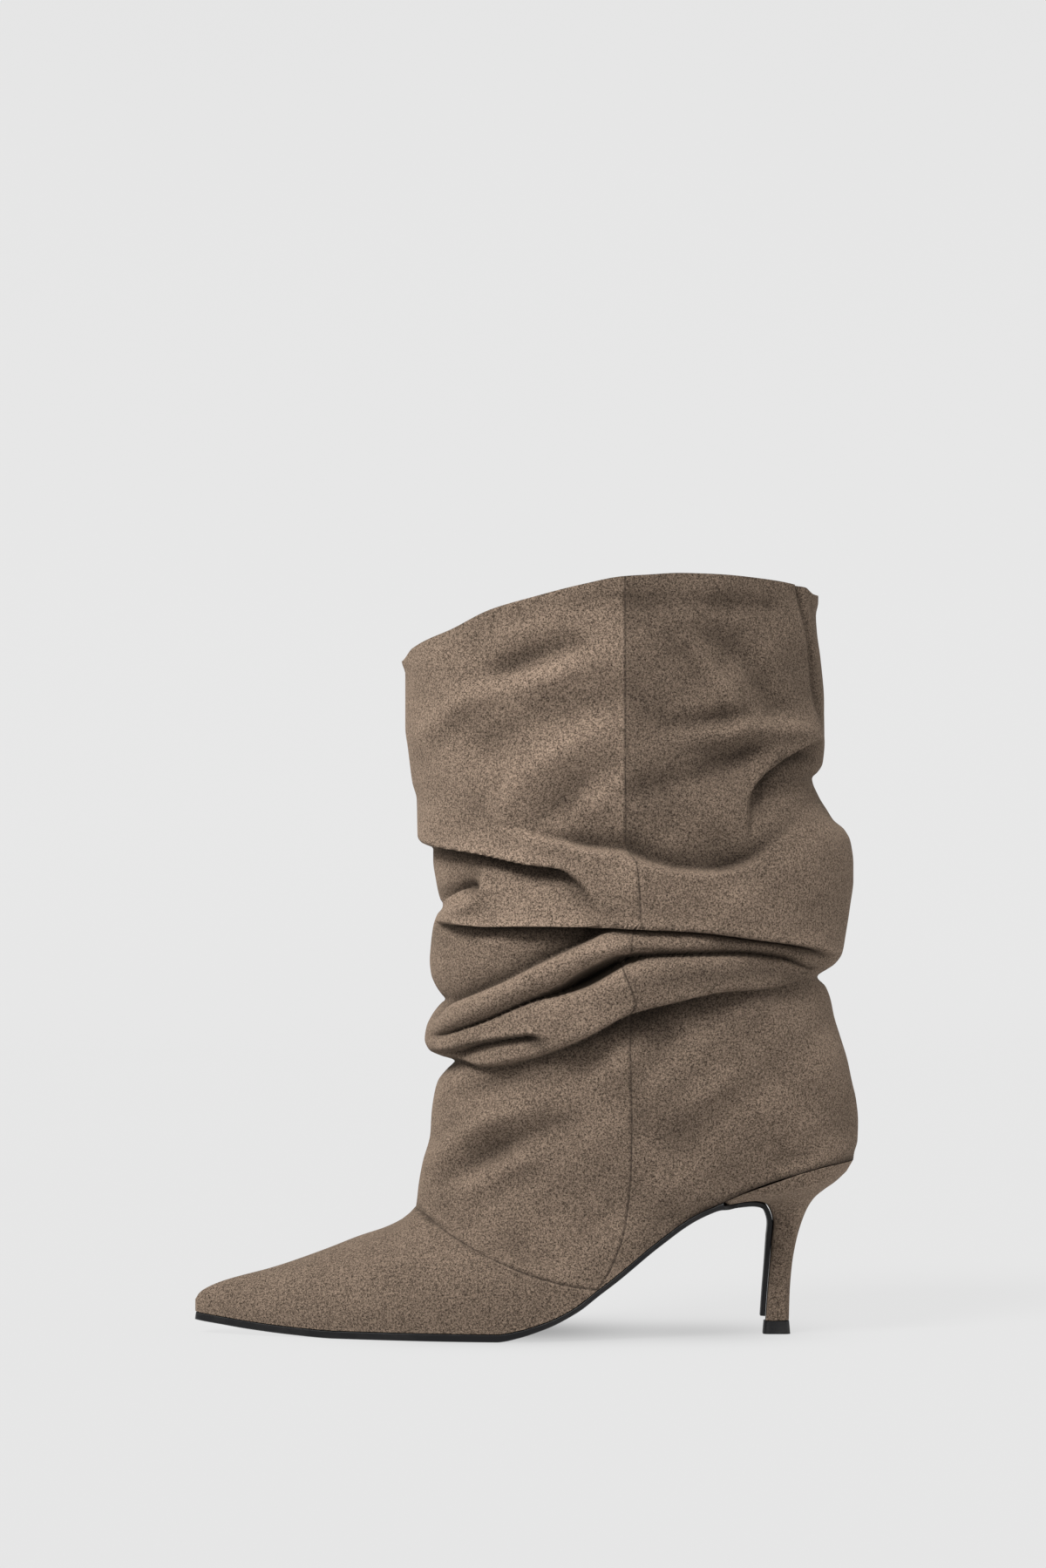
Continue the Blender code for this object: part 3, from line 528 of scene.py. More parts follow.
def fold_relief(x, z):
    """At places on a side of the leg: how far folds stand out, how far lips hang, what light is left."""
    relief = np.zeros_like(x)
    droop = np.zeros_like(x)
    light = np.ones_like(x)
    for step in STEPS:
        height, strength, slope = line_values(step.line, x)
        away = (z - height) / np.hypot(1, slope)
        far = np.maximum(np.abs(z - height) - STEEP_REACH, 0)
        strength = strength * bell(far, STEEP_REACH / 2)
        above = step.over * MM * np.exp(-np.maximum(away, 0) / (step.over_width * MM))
        below = step.under * MM * np.exp(np.minimum(away, 0) / (step.under_width * MM))
        soft = step.soft * MM
        relief += strength * mix(below, above, ease((away + soft) / (2 * soft)))
        droop += strength * step.droop * MM * bell(away - soft, DROOP_WIDTH)
        # painted highlight on the rim just above each hanging lip
        if step.droop > 0:
            light *= 1 + RIM_LIGHT * strength * bell(away - RIM_HEIGHT, RIM_WIDTH)
    for roll in ROLLS:
        top, top_strength, _ = line_values(roll.top, x)
        bottom, bottom_strength, _ = line_values(roll.bottom, x)
        share = (z - bottom) / np.maximum(top - bottom, ROLL_LEAST)
        inside = np.maximum(1 - (2 * share - 1) ** 2, 0) ** ROLL_POWER
        room = np.clip((top - bottom) / ROLL_FULL, 0, 1)
        share = inside * room * np.minimum(np.maximum(top_strength, bottom_strength), 1)
        relief += roll.height * MM * share
        if roll.height < 0:
            light *= 1 - GAP_DARK * share
    for swell in SWELLS:
        away, strength = above_line(swell.line, x, z)
        relief += SWELL_GAIN * strength * swell.height * MM * bell(away, swell.width * MM)
    for wave in WAVES:
        relief += wave.height * MM * np.sin(x / (wave.length_x * MM) + z / (wave.length_z * MM) + wave.start)
    for shade in SHADES:
        away, strength = above_line(shade.line, x, z)
        light *= 1 - strength * shade.dark * bell(away, shade.width * MM)
    return relief, droop, light


def leg_surface():
    """Positions of the outer skin and the inner skin, how far each place stands out and its light."""
    columns = side_shares()
    feet = np.array([foot_point(share, side) for share, side in columns])
    share, side = np.array(columns).T
    angle = np.where(side < 0, share, -share) * math.pi
    levels, front = dense(FRONT_LINE, "z", "x")
    back_levels, back = dense(BACK_LINE, "z", "x")
    front_smooth = spread(front, levels, ENVELOPE_SPREAD)
    back_smooth = spread(back, back_levels, ENVELOPE_SPREAD)
    breadth_levels, breadth = dense(BREADTH, "z", "y")
    tops = []
    for turn in angle:
        x = COLLAR_MIDDLE - COLLAR_HALF_LENGTH * math.cos(turn)
        tops.append(collar_height(x, -COLLAR_HALF_WIDTH * math.sin(turn)))
    rows = row_shares()[:, None]
    foot_x, foot_y, foot_z = feet.T[:, None, :]
    z = mix(foot_z, np.array(tops)[None, :], rows)
    front_x = np.interp(z, levels, front_smooth)
    back_x = np.interp(z, back_levels, back_smooth)
    half = (back_x - front_x) / 2
    cos, sin = np.cos(angle)[None, :], np.sin(angle)[None, :]
    x_leg = (front_x + back_x) / 2 - half * cos
    y_leg = -np.interp(z, breadth_levels, breadth) * sin
    fold_foot = np.array([around(*FOLD_FOOT, turn) for turn in angle])[None, :]
    rise = (z - foot_z) / (OVAL_FROM * (fold_foot - foot_z))
    oval = 1 - (1 - np.clip(rise, 0, 1)) ** OVAL_POWER
    x = mix(foot_x, x_leg, oval)
    y = mix(foot_y, y_leg, oval)
    normal_x = -cos / half
    normal_y = -sin / np.interp(z, breadth_levels, breadth)
    length = np.hypot(normal_x, normal_y)
    normal_x, normal_y = normal_x / length, normal_y / length
    seen_x, seen_z = seen_from_side(x, y, z)
    inner = (side > 0)[None, :]
    stray = INNER_STRAY * np.sin(seen_x / INNER_STRAY_LENGTH + INNER_STRAY_START) * sin ** 2
    relief, droop, light = fold_relief(seen_x, seen_z + np.where(inner, stray, 0))
    relief = np.where(inner, INNER_RELIEF * relief, relief)
    # dark seam line and painted shadow where the upper meets the seat and the shank
    seat_seam_shadow = bell(z - foot_z, SEAT_SEAM_SHADOW) * ease((foot_z - SEAT_SEAM_SHADOW_FROM) / SEAT_SEAM_SHADOW_EASE)
    light *= 1 - SEAT_SEAM_SHADOW_DARK * seat_seam_shadow
    degrees = np.abs(np.degrees(angle))[None, :]
    at_front = bell(degrees, OUTLINE_DEGREES)
    at_back = bell(180 - degrees, OUTLINE_DEGREES)
    outline = at_front * (front_x - np.interp(z, levels, front))
    outline = outline + at_back * (np.interp(z, back_levels, back) - back_x)
    held = ease((z - foot_z) / FOOT_HELD)
    edge_levels, edge = dense(BACK_EDGE, "z", "x")
    groove = bell(seen_x - np.interp(seen_z, edge_levels, edge), BACK_EDGE_WIDTH)
    groove = np.where(inner, 0, groove) * ease((z - BACK_EDGE_FROM) / BACK_EDGE_EASE)
    relief = held * ((1 - at_front - at_back) * relief + outline) - BACK_EDGE_DEPTH * groove
    droop = held * (1 - at_front - at_back) * droop
    outer = np.stack([x + normal_x * relief, y + normal_y * relief, z - droop], axis=-1)
    least = relief.copy()
    for shift in (-3, -2, -1, 1, 2, 3):
        least = np.minimum(least, np.roll(relief, shift, axis=1))
        least = np.minimum(least, relief[np.clip(np.arange(len(relief)) + shift, 0, len(relief) - 1)])
    least[:, -1] = least[:, 0]
    inwards = least - WALL
    lining = np.stack([x + normal_x * inwards, y + normal_y * inwards, z], axis=-1)
    return outer, lining, relief, light


def blur(values, rows, columns):
    """Values averaged over that many rows and columns to each side, round the leg."""
    total = np.zeros_like(values)
    for shift in range(-columns, columns + 1):
        total += np.roll(values, shift, axis=1)
    values = total / (2 * columns + 1)
    total = np.zeros_like(values)
    for shift in range(-rows, rows + 1):
        total += values[np.clip(np.arange(len(values)) + shift, 0, len(values) - 1)]
    return total / (2 * rows + 1)


# Pieces

def grid(bm, across, along, place):
    """Sheet of faces whose corners go where place puts their column and row."""
    made = bmesh.ops.create_grid(bm, x_segments=across, y_segments=along, size=0.5)
    for corner in made["verts"]:
        column = round((corner.co.x + 0.5) * across)
        row = round((corner.co.y + 0.5) * along)
        corner.co = place(column, row)
    return made["verts"]


def stand(name, data):
    """Object made of the data, put into the scene."""
    made = bpy.data.objects.new(name, data)
    bpy.context.scene.collection.objects.link(made)
    return made


def stand_mesh(name, bm, materials):
    """Object made of the faces, shaded smooth, in those materials."""
    mesh = bpy.data.meshes.new(name)
    bm.to_mesh(mesh)
    bm.free()
    mesh.shade_smooth()
    for made in materials:
        mesh.materials.append(made)
    return stand(name, mesh)


def finish_piece(name, bm, materials, node, smooth_angle=60):
    """Make the faces a piece of the part, in the place of a node of the model."""
    piece = stand_mesh(name, bm, materials)
    piece.data.set_sharp_from_angle(angle=math.radians(smooth_angle))
    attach(piece, "root")
    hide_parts(node)


def make_upper(suede, lining_leather):
    """Vamp and leg in suede outside, lined inside, closed at the collar and along the feather edge."""
    outer, lining, relief, light = leg_surface()
    proud = (relief - blur(relief, *FINE_BLUR)) / MM
    broad = (relief - blur(relief, *BROAD_BLUR)) / MM
    bm = bmesh.new()
    fold = bm.verts.layers.float.new("fold")
    swell = bm.verts.layers.float.new("swell")
    deep = bm.verts.layers.float.new("deep")
    last = len(side_shares()) - 1
    seam_columns = [column % last for column in range(FRONT_COLUMNS, -FRONT_COLUMNS - 1, -1)]
    turns = [column / FRONT_COLUMNS for column in range(FRONT_COLUMNS, -1, -1)]
    arches = [seam_place(turn)[1] for turn in turns]
    arches += [math.pi - arch for arch in arches[-2::-1]]

    def vamp_place(column, row, skin, rows, coarse):
        top = Vector(skin[0][seam_columns[column * coarse]])
        if row == rows:
            return top
        share = (row / rows) ** NOSE_CROWDING
        arch = arches[column * coarse]
        if skin is outer:
            return Vector(vamp_point(mix(TOE_X, outer[0][seam_columns[column]][0], share), arch))
        x = mix(TOE_X + 2 * WALL, top.x, share)
        nose = min(row / NOSE_ROWS, 1)
        return Vector(vamp_point(x, arch, WALL, math.sqrt(1 - (1 - nose) ** 2)))

    grid(bm, last, LEG_ROWS, lambda column, row: outer[row][column])
    bm.verts.ensure_lookup_table()
    # the attribute deep holds the painted shade of folds, gaps and the seat, and the painted rim highlights,
    # as the share of light lost
    for corner, (row, column) in zip(bm.verts, np.ndindex(LEG_ROWS + 1, last + 1)):
        corner[fold] = float(proud[row][column])
        corner[swell] = float(broad[row][column])
        corner[deep] = float(1 - light[row][column])
    grid(bm, 2 * FRONT_COLUMNS, VAMP_ROWS,
         lambda column, row: vamp_place(column, row, outer, VAMP_ROWS, 1))
    bmesh.ops.remove_doubles(bm, verts=bm.verts, dist=1e-6)
    bmesh.ops.recalc_face_normals(bm, faces=bm.faces)
    outside = list(bm.faces)
    inside = grid(bm, last // 2, LEG_ROWS // 2, lambda column, row: lining[row * 2][column * 2])
    inside += grid(bm, FRONT_COLUMNS, VAMP_ROWS // 2,
                   lambda column, row: vamp_place(column, row, lining, VAMP_ROWS // 2, 2))
    bmesh.ops.remove_doubles(bm, verts=inside, dist=1e-6)
    skins = set(outside)
    linings = [face for face in bm.faces if face not in skins]
    for face in linings:
        face.material_index = 1
    edges = [edge for edge in bm.edges if edge.is_boundary]
    collar = [edge for edge in edges if min(corner.co.z for corner in edge.verts) > RIM_SPLIT]
    foot = [edge for edge in edges if max(corner.co.z for corner in edge.verts) < RIM_SPLIT]
    for rim in (collar, foot):
        bmesh.ops.bridge_loops(bm, edges=rim)
    bmesh.ops.recalc_face_normals(bm, faces=bm.faces)
    side = bm.verts.layers.float.new("side_seam")
    vamp = bm.verts.layers.float.new("vamp_seam")
    seam_z, seam_x = dense(SIDE_SEAM, "z", "x")
    seen = np.array([seen_from_side(*corner.co) for corner in bm.verts])
    from_side = (seen[:, 0] - np.interp(seen[:, 1], seam_z, seam_x)) / MM
    from_vamp = above_line(VAMP_SEAM, seen[:, 0], seen[:, 1])[0] / MM
    for corner, across, above in zip(bm.verts, from_side, from_vamp):
        corner[side] = float(across)
        corner[vamp] = float(above)
    finish_piece("suede_upper", bm, [suede, lining_leather], "upper")


def block_row(order):
    """Section of the heel block at a row of its table, or between rows: both ends and half width."""
    front, back, low, high, width = (smooth(BLOCK, "order", column, order) for column in Block._fields[1:])
    foot = LIFT_HEIGHT + FIT_GAP
    top = feather_height(SEAT_FRONT_X) - FIT_GAP - SEAT_EDGE
    rear = feather_height(HEEL_OVERHANG) - FIT_GAP
    seat = half_width(HEEL_OVERHANG - SEAT_ROUND, -1)
    ahead = (-LIFT_LENGTH / 2 + SEAT_LENGTH * front, mix(foot, top, low))
    behind = (LIFT_LENGTH / 2 + SEAT_LENGTH * back, mix(foot, rear, high))
    return ahead, behind, mix(LIFT_WIDTH / 2, seat, width)


def close_tube(bm):
    """Weld the tube's long edge, close both ends and turn the faces outwards."""
    bmesh.ops.remove_doubles(bm, verts=bm.verts, dist=1e-7)
    ends = [edge for edge in bm.edges if edge.is_boundary]
    bmesh.ops.holes_fill(bm, edges=ends, sides=0)
    bmesh.ops.recalc_face_normals(bm, faces=bm.faces)


def make_heel(suede):
    """Slim covered block, flat across its front and round behind."""
    last = len(BLOCK) - 1

    def outline(column, order):
        turn = 2 * math.pi * (column + 0.5) / HEEL_POINTS
        ahead, aside = math.cos(turn), math.sin(turn)
        if ahead < 0:
            return (1 - abs(ahead) ** (2 / BLOCK_BACK_POWER)) / 2, aside
        power = 2 / mix(BLOCK_FRONT_POWER, SEAT_FRONT_POWER, ease(order - last + 1))
        return (1 + ahead ** power) / 2, math.copysign(abs(aside) ** power, aside)

    def place(column, row):
        order = last * min(row / HEEL_RINGS, 1)
        ahead, aside = outline(column, order)
        front, back, wide = block_row(order)
        if row > HEEL_RINGS:
            x = mix(HEEL_OVERHANG, SEAT_FRONT_X, ahead)
            y = aside * half_width(min(x, HEEL_OVERHANG - SEAT_ROUND), aside)
            return x, y, feather_height(x) - FIT_GAP
        return mix(back[0], front[0], ahead), aside * wide, mix(back[1], front[1], ahead)

    bm = bmesh.new()
    grid(bm, HEEL_POINTS, HEEL_RINGS + 1, place)
    close_tube(bm)
    finish_piece("covered_heel", bm, [suede], "heel")


def sole_line():
    """Sole from the toe to the shank and down the heel's front, as x, z and y of both edges.

    The first line keeps close under the upper and the heel, and the second rounds the corner between them.
    """
    shank_end = SEAT_FRONT_X - FIT_GAP
    tread_end = TOE_X + FOOT_LENGTH * TREAD_BACK

    def under_foot(x):
        return x, feather_height(x) - FIT_GAP, middle(x) - half_width(x, -1), middle(x) + half_width(x, 1)

    shares = [(step / TREAD_STATIONS) ** NOSE_CROWDING for step in range(TREAD_STATIONS)]
    tread = [under_foot(mix(TOE_X + FIT_GAP, tread_end, share)) for share in shares]
    stations = np.linspace(0, 1, SHANK_STATIONS + 1)
    rest = [under_foot(mix(tread_end, shank_end, share)) for share in stations]
    last = len(BLOCK) - 1
    for share in stations:
        order = mix(last, FLAP_ORDER, share)
        (x, z), _, wide = block_row(order)
        wide *= FLAP_SHARE
        full = ease(order - last + 1)
        _, _, outer, inner = under_foot(x)
        rest.append((x - FIT_GAP, z, mix(-wide, outer, full), mix(wide, inner, full)))
    rest = np.array(rest)
    run = np.concatenate([[0], np.cumsum(np.hypot(np.diff(rest[:, 0]), np.diff(rest[:, 1])))])
    even = np.linspace(0, run[-1], int(run[-1] / SHANK_STEP) + 1)
    shank = np.stack([np.interp(even, run, column) for column in rest.T], axis=1)
    soft = np.stack([spread(column, even, CORNER_SPREAD) for column in shank.T], axis=1)
    near_seat = bell(shank[:, 0] - SEAT_FRONT_X, CORNER_REACH) * (shank[:, 1] > HEEL_HEIGHT / 2)
    soft = mix(shank, soft, near_seat[:, None])
    return np.concatenate([tread, shank]), np.concatenate([tread, soft])


def make_outsole(black):
    """Thin sole: tread, shank and the flap down the heel's front, with softly rounded edges."""
    close, line = sole_line()
    run, climb = np.gradient(line[:, 0]), np.gradient(line[:, 1])
    length = np.hypot(run, climb)
    along = (line[:, 0] - TOE_X) / FOOT_LENGTH
    shank = np.clip((along - TREAD_BACK) / (SHANK_START - TREAD_BACK), 0, 1)
    thick = mix(SOLE_THICKNESS, SHANK_THICKNESS, shank)
    spans = SOLE_SPANS
    around_edge = 2 * spans + 6

    def place(column, row):
        deep = thick[row]
        outer, inner = close[row][2:]
        draw = min(SOLE_DRAW_IN, (inner - outer) / EDGES_ACROSS)
        edge = min(SOLE_ROUND, (inner - outer) / EDGES_ACROSS)
        column %= around_edge
        if column <= spans:
            y, depth = mix(outer + edge, inner - edge, column / spans), 0.0
        elif column <= spans + 2:
            y, depth = (inner, edge) if column == spans + 1 else (inner - draw / 2, deep - edge)
        elif column <= 2 * spans + 3:
            share = (column - spans - 3) / spans
            y, depth = mix(inner - draw - edge, outer + draw + edge, share), deep
        else:
            y, depth = (outer + draw / 2, deep - edge) if column == 2 * spans + 4 else (outer, edge)
        x, z = mix(close[row][:2], line[row][:2], depth / deep)
        return x + climb[row] / length[row] * depth, y, z - run[row] / length[row] * depth

    bm = bmesh.new()
    grid(bm, around_edge, len(line) - 1, place)
    close_tube(bm)
    finish_piece("thin_sole", bm, [black], "outsole", SOLE_SMOOTH_ANGLE)


# Materials

def add_node(tree, kind, sockets, output=0, **settings):
    """Value of a new node's output. Its settings are set first, then each socket's number or link."""
    node = tree.nodes.new(kind)
    for key, choice in settings.items():
        setattr(node, key, choice)
    for key, value in sockets.items():
        if isinstance(value, Value):
            tree.links.new(value.socket, node.inputs[key])
        else:
            node.inputs[key].default_value = value
    return Value(tree, node.outputs[output])


class Value:
    """A socket that adds Math nodes when it is used in an expression."""

    def __init__(self, tree, socket):
        self.tree = tree
        self.socket = socket

    def math(self, operation, *others):
        sockets = dict(enumerate((self,) + others))
        return add_node(self.tree, "ShaderNodeMath", sockets, operation=operation)

    def __add__(self, other):
        return self.math("ADD", other)

    def __mul__(self, other):
        return self.math("MULTIPLY", other)

    def __sub__(self, other):
        return self.math("SUBTRACT", other)

    def __rsub__(self, other):
        return self.math("MULTIPLY", -1.0).math("ADD", other)

    def __truediv__(self, other):
        return self.math("DIVIDE", other)

    __radd__ = __add__
    __rmul__ = __mul__

    def between(self, low, high):
        """0 at low and below, 1 at high and above, straight between."""
        sockets = {"Value": self, "From Min": low, "From Max": high}
        return add_node(self.tree, "ShaderNodeMapRange", sockets)


class Finish:
    """A material with a Principled shader, and short ways to add nodes to it."""

    def __init__(self, name, roughness, **constants):
        self.made = bpy.data.materials.new(name)
        self.made.use_nodes = True
        self.tree = self.made.node_tree
        self.shader = self.tree.nodes["Principled BSDF"]
        self.shader.inputs["Roughness"].default_value = roughness
        for key, number in constants.items():
            self.shader.inputs[key.replace("_", " ")].default_value = number

    def feed(self, name, value):
        """Lead a value to the shader's socket of that name."""
        self.tree.links.new(value.socket, self.shader.inputs[name])

    def place(self, stretch=None):
        """Place on the object, which stands unturned at the origin, stretched or as it is."""
        made = add_node(self.tree, "ShaderNodeTexCoord", {}, "Object")
        if stretch is None:
            return made
        return add_node(self.tree, "ShaderNodeMapping", {"Vector": made, "Scale": stretch})

    def axes(self):
        """The place's x, y and z."""
        x = add_node(self.tree, "ShaderNodeSeparateXYZ", {"Vector": self.place()})
        return [Value(self.tree, output) for output in x.socket.node.outputs]

    def noise(self, scale, detail, roughness, stretch=None):
        sockets = {"Vector": self.place(stretch), "Scale": scale, "Detail": detail, "Roughness": roughness}
        return add_node(self.tree, "ShaderNodeTexNoise", sockets)

    def attribute(self, name):
        return add_node(self.tree, "ShaderNodeAttribute", {}, "Fac", attribute_name=name)

    def grey(self, level):
        """The same level of red, green and blue, as a colour."""
        return add_node(self.tree, "ShaderNodeCombineColor", {"Red": level, "Green": level, "Blue": level})

    def blend(self, share, first, second, how="MIX"):
        """Colour between two others; each is a colour or a Value."""
        colours = [item if isinstance(item, Value) else (*item, 1) for item in (first, second)]
        sockets = {0: share, 6: colours[0], 7: colours[1]}
        return add_node(self.tree, "ShaderNodeMix", sockets, 2, data_type="RGBA", blend_type=how)

    def bump(self, height, strength, distance):
        sockets = {"Height": height, "Strength": strength, "Distance": distance}
        self.feed("Normal", add_node(self.tree, "ShaderNodeBump", sockets))


SUEDE_DARK = (0.018, 0.0125, 0.0088)
SUEDE_LIGHT = (0.284, 0.2100, 0.1565)
SEAM_DARK = (0.035, 0.026, 0.020)
NAP_TINT = (0.9, 0.68, 0.5, 1)

# Noises of the suede: how many features to a metre, detail, roughness
FLECK = (1400, 4.0, 0.8)
GRAIN = (2500, 2.0, 0.7)
CLOUD = (55, 4.0, 0.65)
STROKE = (210, 2.0, 0.6, (1.0, 1.0, 1.7))
STITCH_GAPS = (1100, 0.0, 0.5)
FLECK_RANGE = (0.44, 0.56)  # of the noise, from the darkest mottling to the palest
GRAIN_RANGE = (0.43, 0.57)
FLECK_PART = 0.6          # of the mottling, the rest is grain
FLECK_HEIGHT = 0.7        # of the nap's relief, the rest is grain
NAP_STRENGTH = 0.9
NAP_DEPTH = 0.7 * MM

# Parts of the suede's tone, 1 being its plain colour
BASE_TONE = 0.70
CLOUD_TONE = 0.44
STROKE_TONE = 0.26
CREST_HIGHLIGHT = 0.12         # painted highlight on a narrow fold that stands out, and painted shade in one that lies deep
CREASE_SHADE = 0.40
RISE_HIGHLIGHT = 0.14          # painted highlight on a broad rise, and painted shade in a broad hollow
HOLLOW_SHADE = 0.30
FRONT_SHADE = 0.10       # painted shade on the vamp and the leg's low front
BACK_SHADE = 0.10        # painted shade on the back panel, and how much more at the cuff
CUFF_BACK_SHADE = 0.30
FOOT_TONE = 0.76          # painted shade: the whole upper at the sole, and what it gains upwards
LEG_GAIN = 0.10
CUFF_GAIN = 0.14
HEEL_TONE = 0.68          # painted shade: the heel at its foot, and what it gains upwards
HEEL_GAIN = 0.34

# Half widths in mm at which the seams' dark lines end and their grooves end
SIDE_LINE = (0.14, 0.52)
VAMP_LINE = (0.12, 0.48)
SEAM_GROOVE = (0.1, 0.9)


def upper_tone(suede, tone, side):
    """Tone of the upper: painted highlights on lips and crests, painted shade in creases and hollows, and
    painted shade on the panels where less light falls.
    """
    fold = suede.attribute("fold")
    broad = suede.attribute("swell")
    # painted highlights on crests and rises, painted shade in creases and hollows
    tone = tone + fold.between(0.0, 1.6) * CREST_HIGHLIGHT - fold.between(0.0, -2.6) * CREASE_SHADE
    tone = tone + broad.between(0.0, 2.5) * RISE_HIGHLIGHT - broad.between(0.0, -3.5) * HOLLOW_SHADE
    # painted shade in folds, gaps and at the seat, and painted highlights on lip rims, from the attribute
    # deep
    tone = tone * (1.0 - suede.attribute("deep"))
    x, _, z = suede.axes()
    # painted shade on the vamp and the leg's low front
    low_front = x.between(-0.05, -0.095) * (1.0 - z.between(0.12, 0.15))
    tone = tone * (1.0 - low_front * FRONT_SHADE)
    # painted shade on the back panel, more at the cuff
    back = side.between(-0.2, 0.2)
    tone = tone * (1.0 - back * (BACK_SHADE + z.between(0.165, 0.20) * CUFF_BACK_SHADE))
    # painted shade, darker towards the sole
    return tone * (FOOT_TONE + z.between(0.0, 0.09) * LEG_GAIN + z.between(0.13, 0.19) * CUFF_GAIN)


def suede_finish(name, seams):
    """Brushed suede with flecks, cloudy nap and, on the upper, the lines and grooves of its seams."""
    suede = Finish(name, 0.95, Sheen_Weight=0.2, Sheen_Roughness=0.5, Sheen_Tint=NAP_TINT,
                   Specular_IOR_Level=0.08)
    fleck = suede.noise(*FLECK)
    grain = suede.noise(*GRAIN)
    share = fleck.between(*FLECK_RANGE) * FLECK_PART + grain.between(*GRAIN_RANGE) * (1 - FLECK_PART)
    tone = BASE_TONE + suede.noise(*CLOUD) * CLOUD_TONE + suede.noise(*STROKE) * STROKE_TONE
    if seams:
        side = suede.attribute("side_seam")
        tone = upper_tone(suede, tone, side)
    else:
        _, _, z = suede.axes()
        # painted shade, darker towards the heel's foot
        tone = tone * (HEEL_TONE + z.between(0.015, 0.055) * HEEL_GAIN)
    colour = suede.blend(share, SUEDE_DARK, SUEDE_LIGHT)
    colour = suede.blend(1.0, colour, suede.grey(tone), "MULTIPLY")
    height = fleck * FLECK_HEIGHT + grain * (1 - FLECK_HEIGHT)
    if seams:
        from_side = side.math("ABSOLUTE")
        from_vamp = suede.attribute("vamp_seam").math("ABSOLUTE")
        line = (1.0 - from_side.between(*SIDE_LINE)).math("MAXIMUM", 1.0 - from_vamp.between(*VAMP_LINE))
        line = line * (0.5 + suede.noise(*STITCH_GAPS).between(0.4, 0.6) * 0.5)
        colour = suede.blend(line, colour, SEAM_DARK)
        groove = from_side.math("MINIMUM", from_vamp).between(*SEAM_GROOVE)
        height = height + groove
    suede.feed("Base Color", colour)
    suede.bump(height, NAP_STRENGTH, NAP_DEPTH)
    return suede.made


def lining_finish():
    """Smooth pigskin lining with small pores."""
    lining = Finish("lining_leather", 0.6)
    pores = lining.noise(600, 2.0, 0.5)
    cloud = lining.noise(40, 3.0, 0.5)
    share = pores.between(0.35, 0.6) * 0.5 + cloud * 0.5
    lining.feed("Base Color", lining.blend(share, (0.235, 0.18, 0.13), (0.34, 0.275, 0.21)))
    lining.bump(pores, 0.3, 0.2 * MM)
    return lining.made


def black_finish(name, roughness, scale):
    """Black rubber or edge dressing with faint scuffs."""
    black = Finish(name, roughness, Specular_IOR_Level=0.22)
    scuff = black.noise(scale, 4.0, 0.7, (0.4, 1.0, 1.0))
    grain = black.noise(1500, 2.0, 0.6)
    colour = black.blend(scuff.between(0.45, 0.8), (0.0045, 0.0045, 0.0050), (0.016, 0.015, 0.0145))
    black.feed("Base Color", colour)
    black.feed("Roughness", scuff * 0.25 + (roughness - 0.1))
    black.bump(grain, 0.25, 0.2 * MM)
    return black.made


# The stage

FLOOR_FRONT = -6.0        # where the paper begins, and where its curve up to the wall begins
FLOOR_BACK = 2.5
FLOOR_WIDTH = 16
CURVE = 1.5
CURVE_STEPS = 24
WALL_TOP = 5.0
PAPER_GLOW = 0.740        # at the floor, and what it loses up to a height of 1.2 m
WALL_LOSS = 0.010
STUDIO_GREY = (0.46, 0.46, 0.46, 1)

# Painted shadow on the floor below the boot: middle, half sizes and loss of light
Spot = namedtuple("Spot", "x y wide deep dark")
SHADE_SPOTS = [
    Spot(-0.100, 0.008, 0.046, 0.042, 0.38),
    Spot(-0.024, 0.006, 0.032, 0.040, 0.14),
]

# Lights: where from, strength and width in degrees
Lamp = namedtuple("Lamp", "name towards strength width")
LAMPS = [
    Lamp("key", (-0.46, -0.62, 0.86), 5.1, 20),
    Lamp("fill", (0.95, -0.32, 0.20), 1.2, 40),
]


def make_lamp(lamp):
    """Light as from a wide far softbox, equally strong all over the floor."""
    data = bpy.data.lights.new(lamp.name, "SUN")
    data.energy = lamp.strength
    data.angle = math.radians(lamp.width)
    stand(lamp.name, data).rotation_euler = (-Vector(lamp.towards)).to_track_quat("-Z", "Y").to_euler()


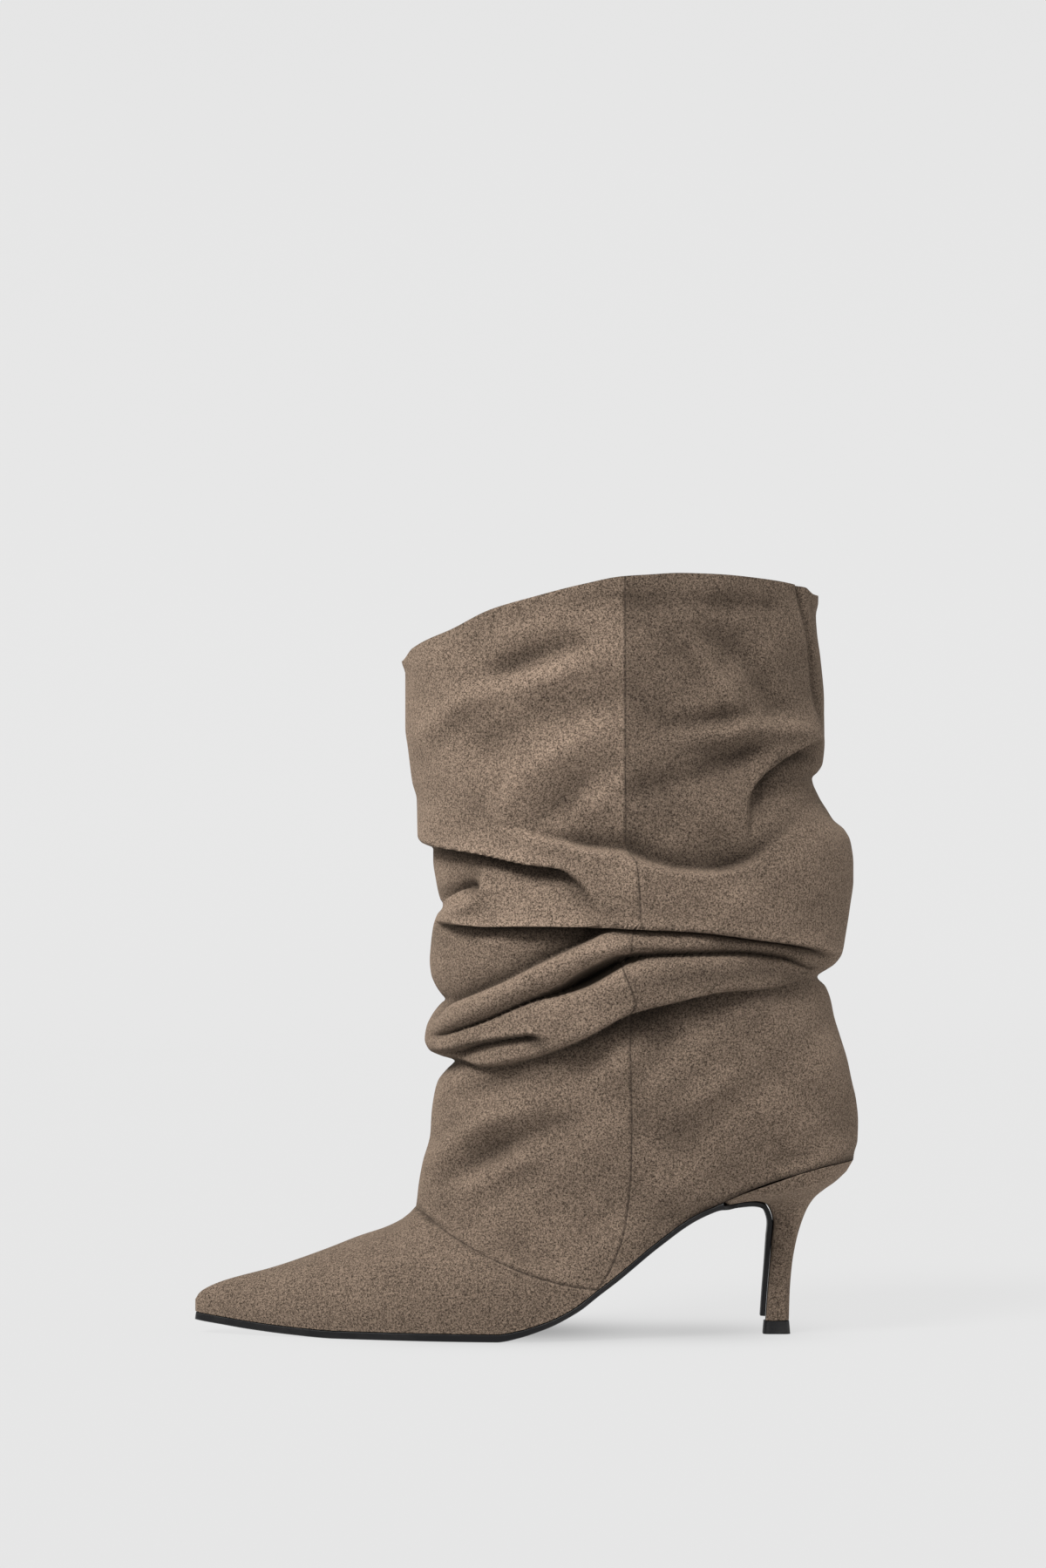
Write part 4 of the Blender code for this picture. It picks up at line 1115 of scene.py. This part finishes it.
def paper_finish():
    """Pale paper that glows evenly, less so in the painted shadow below the boot."""
    paper = Finish("paper", 1.0, Specular_IOR_Level=0.0)
    cloud = paper.noise(2.0, 2.0, 0.5)
    paper.feed("Base Color", paper.blend(cloud, (0.028, 0.028, 0.028), (0.032, 0.032, 0.032)))
    x, y, z = paper.axes()
    lit = PAPER_GLOW - z.between(0.0, 1.2) * WALL_LOSS
    # painted shadow below the boot
    for spot in SHADE_SPOTS:
        across = (x - spot.x) / spot.wide
        deep = (y - spot.y) / spot.deep
        lit = lit - spot.dark * (across * across + deep * deep).math("MULTIPLY", -1.0).math("EXPONENT")
    paper.feed("Emission Color", paper.grey(lit))
    paper.shader.inputs["Emission Strength"].default_value = 1.0
    return paper.made


def make_floor():
    """Sheet of paper under the boot, curved up into a wall behind it."""
    bm = bmesh.new()
    profile = [(FLOOR_FRONT, 0.0), (FLOOR_BACK - 0.5, 0.0)]
    for step in range(CURVE_STEPS + 1):
        turn = math.pi / 2 * step / CURVE_STEPS
        profile.append((FLOOR_BACK + CURVE * math.sin(turn), CURVE * (1 - math.cos(turn))))
    profile.append((FLOOR_BACK + CURVE, WALL_TOP))
    grid(bm, 1, len(profile) - 1, lambda column, row: ((column - 0.5) * FLOOR_WIDTH, *profile[row]))
    stand_mesh("paper_sweep", bm, [paper_finish()])


def make_camera():
    """Level camera at the height and distance that the photograph shows."""
    data = bpy.data.cameras.new("camera")
    data.sensor_fit = "VERTICAL"
    data.sensor_height = SENSOR
    data.lens = SENSOR * -EYE.y / FRAME_HEIGHT
    data.clip_end = 60
    camera = stand("camera", data)
    camera.location = EYE
    camera.rotation_euler = (math.pi / 2, 0, 0)
    bpy.context.scene.camera = camera


def make_stage():
    make_floor()
    world = bpy.data.worlds.new("studio")
    world.use_nodes = True
    world.node_tree.nodes["Background"].inputs["Color"].default_value = STUDIO_GREY
    bpy.context.scene.world = world
    for lamp in LAMPS:
        make_lamp(lamp)
    make_camera()
    bpy.context.scene.view_settings.view_transform = "Standard"


def main():
    make_stage()
    suede = suede_finish("suede", True)
    heel_suede = suede_finish("heel_suede", False)
    make_upper(suede, lining_finish())
    make_heel(heel_suede)
    make_outsole(black_finish("black_sole", 0.42, 90))
    carried = {
        "top_lift": black_finish("lift_rubber", 0.5, 160),
        "insole": lining_finish(),
    }
    for node, made in carried.items():
        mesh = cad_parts[node].data
        mesh.materials.clear()
        mesh.materials.append(made)


main()
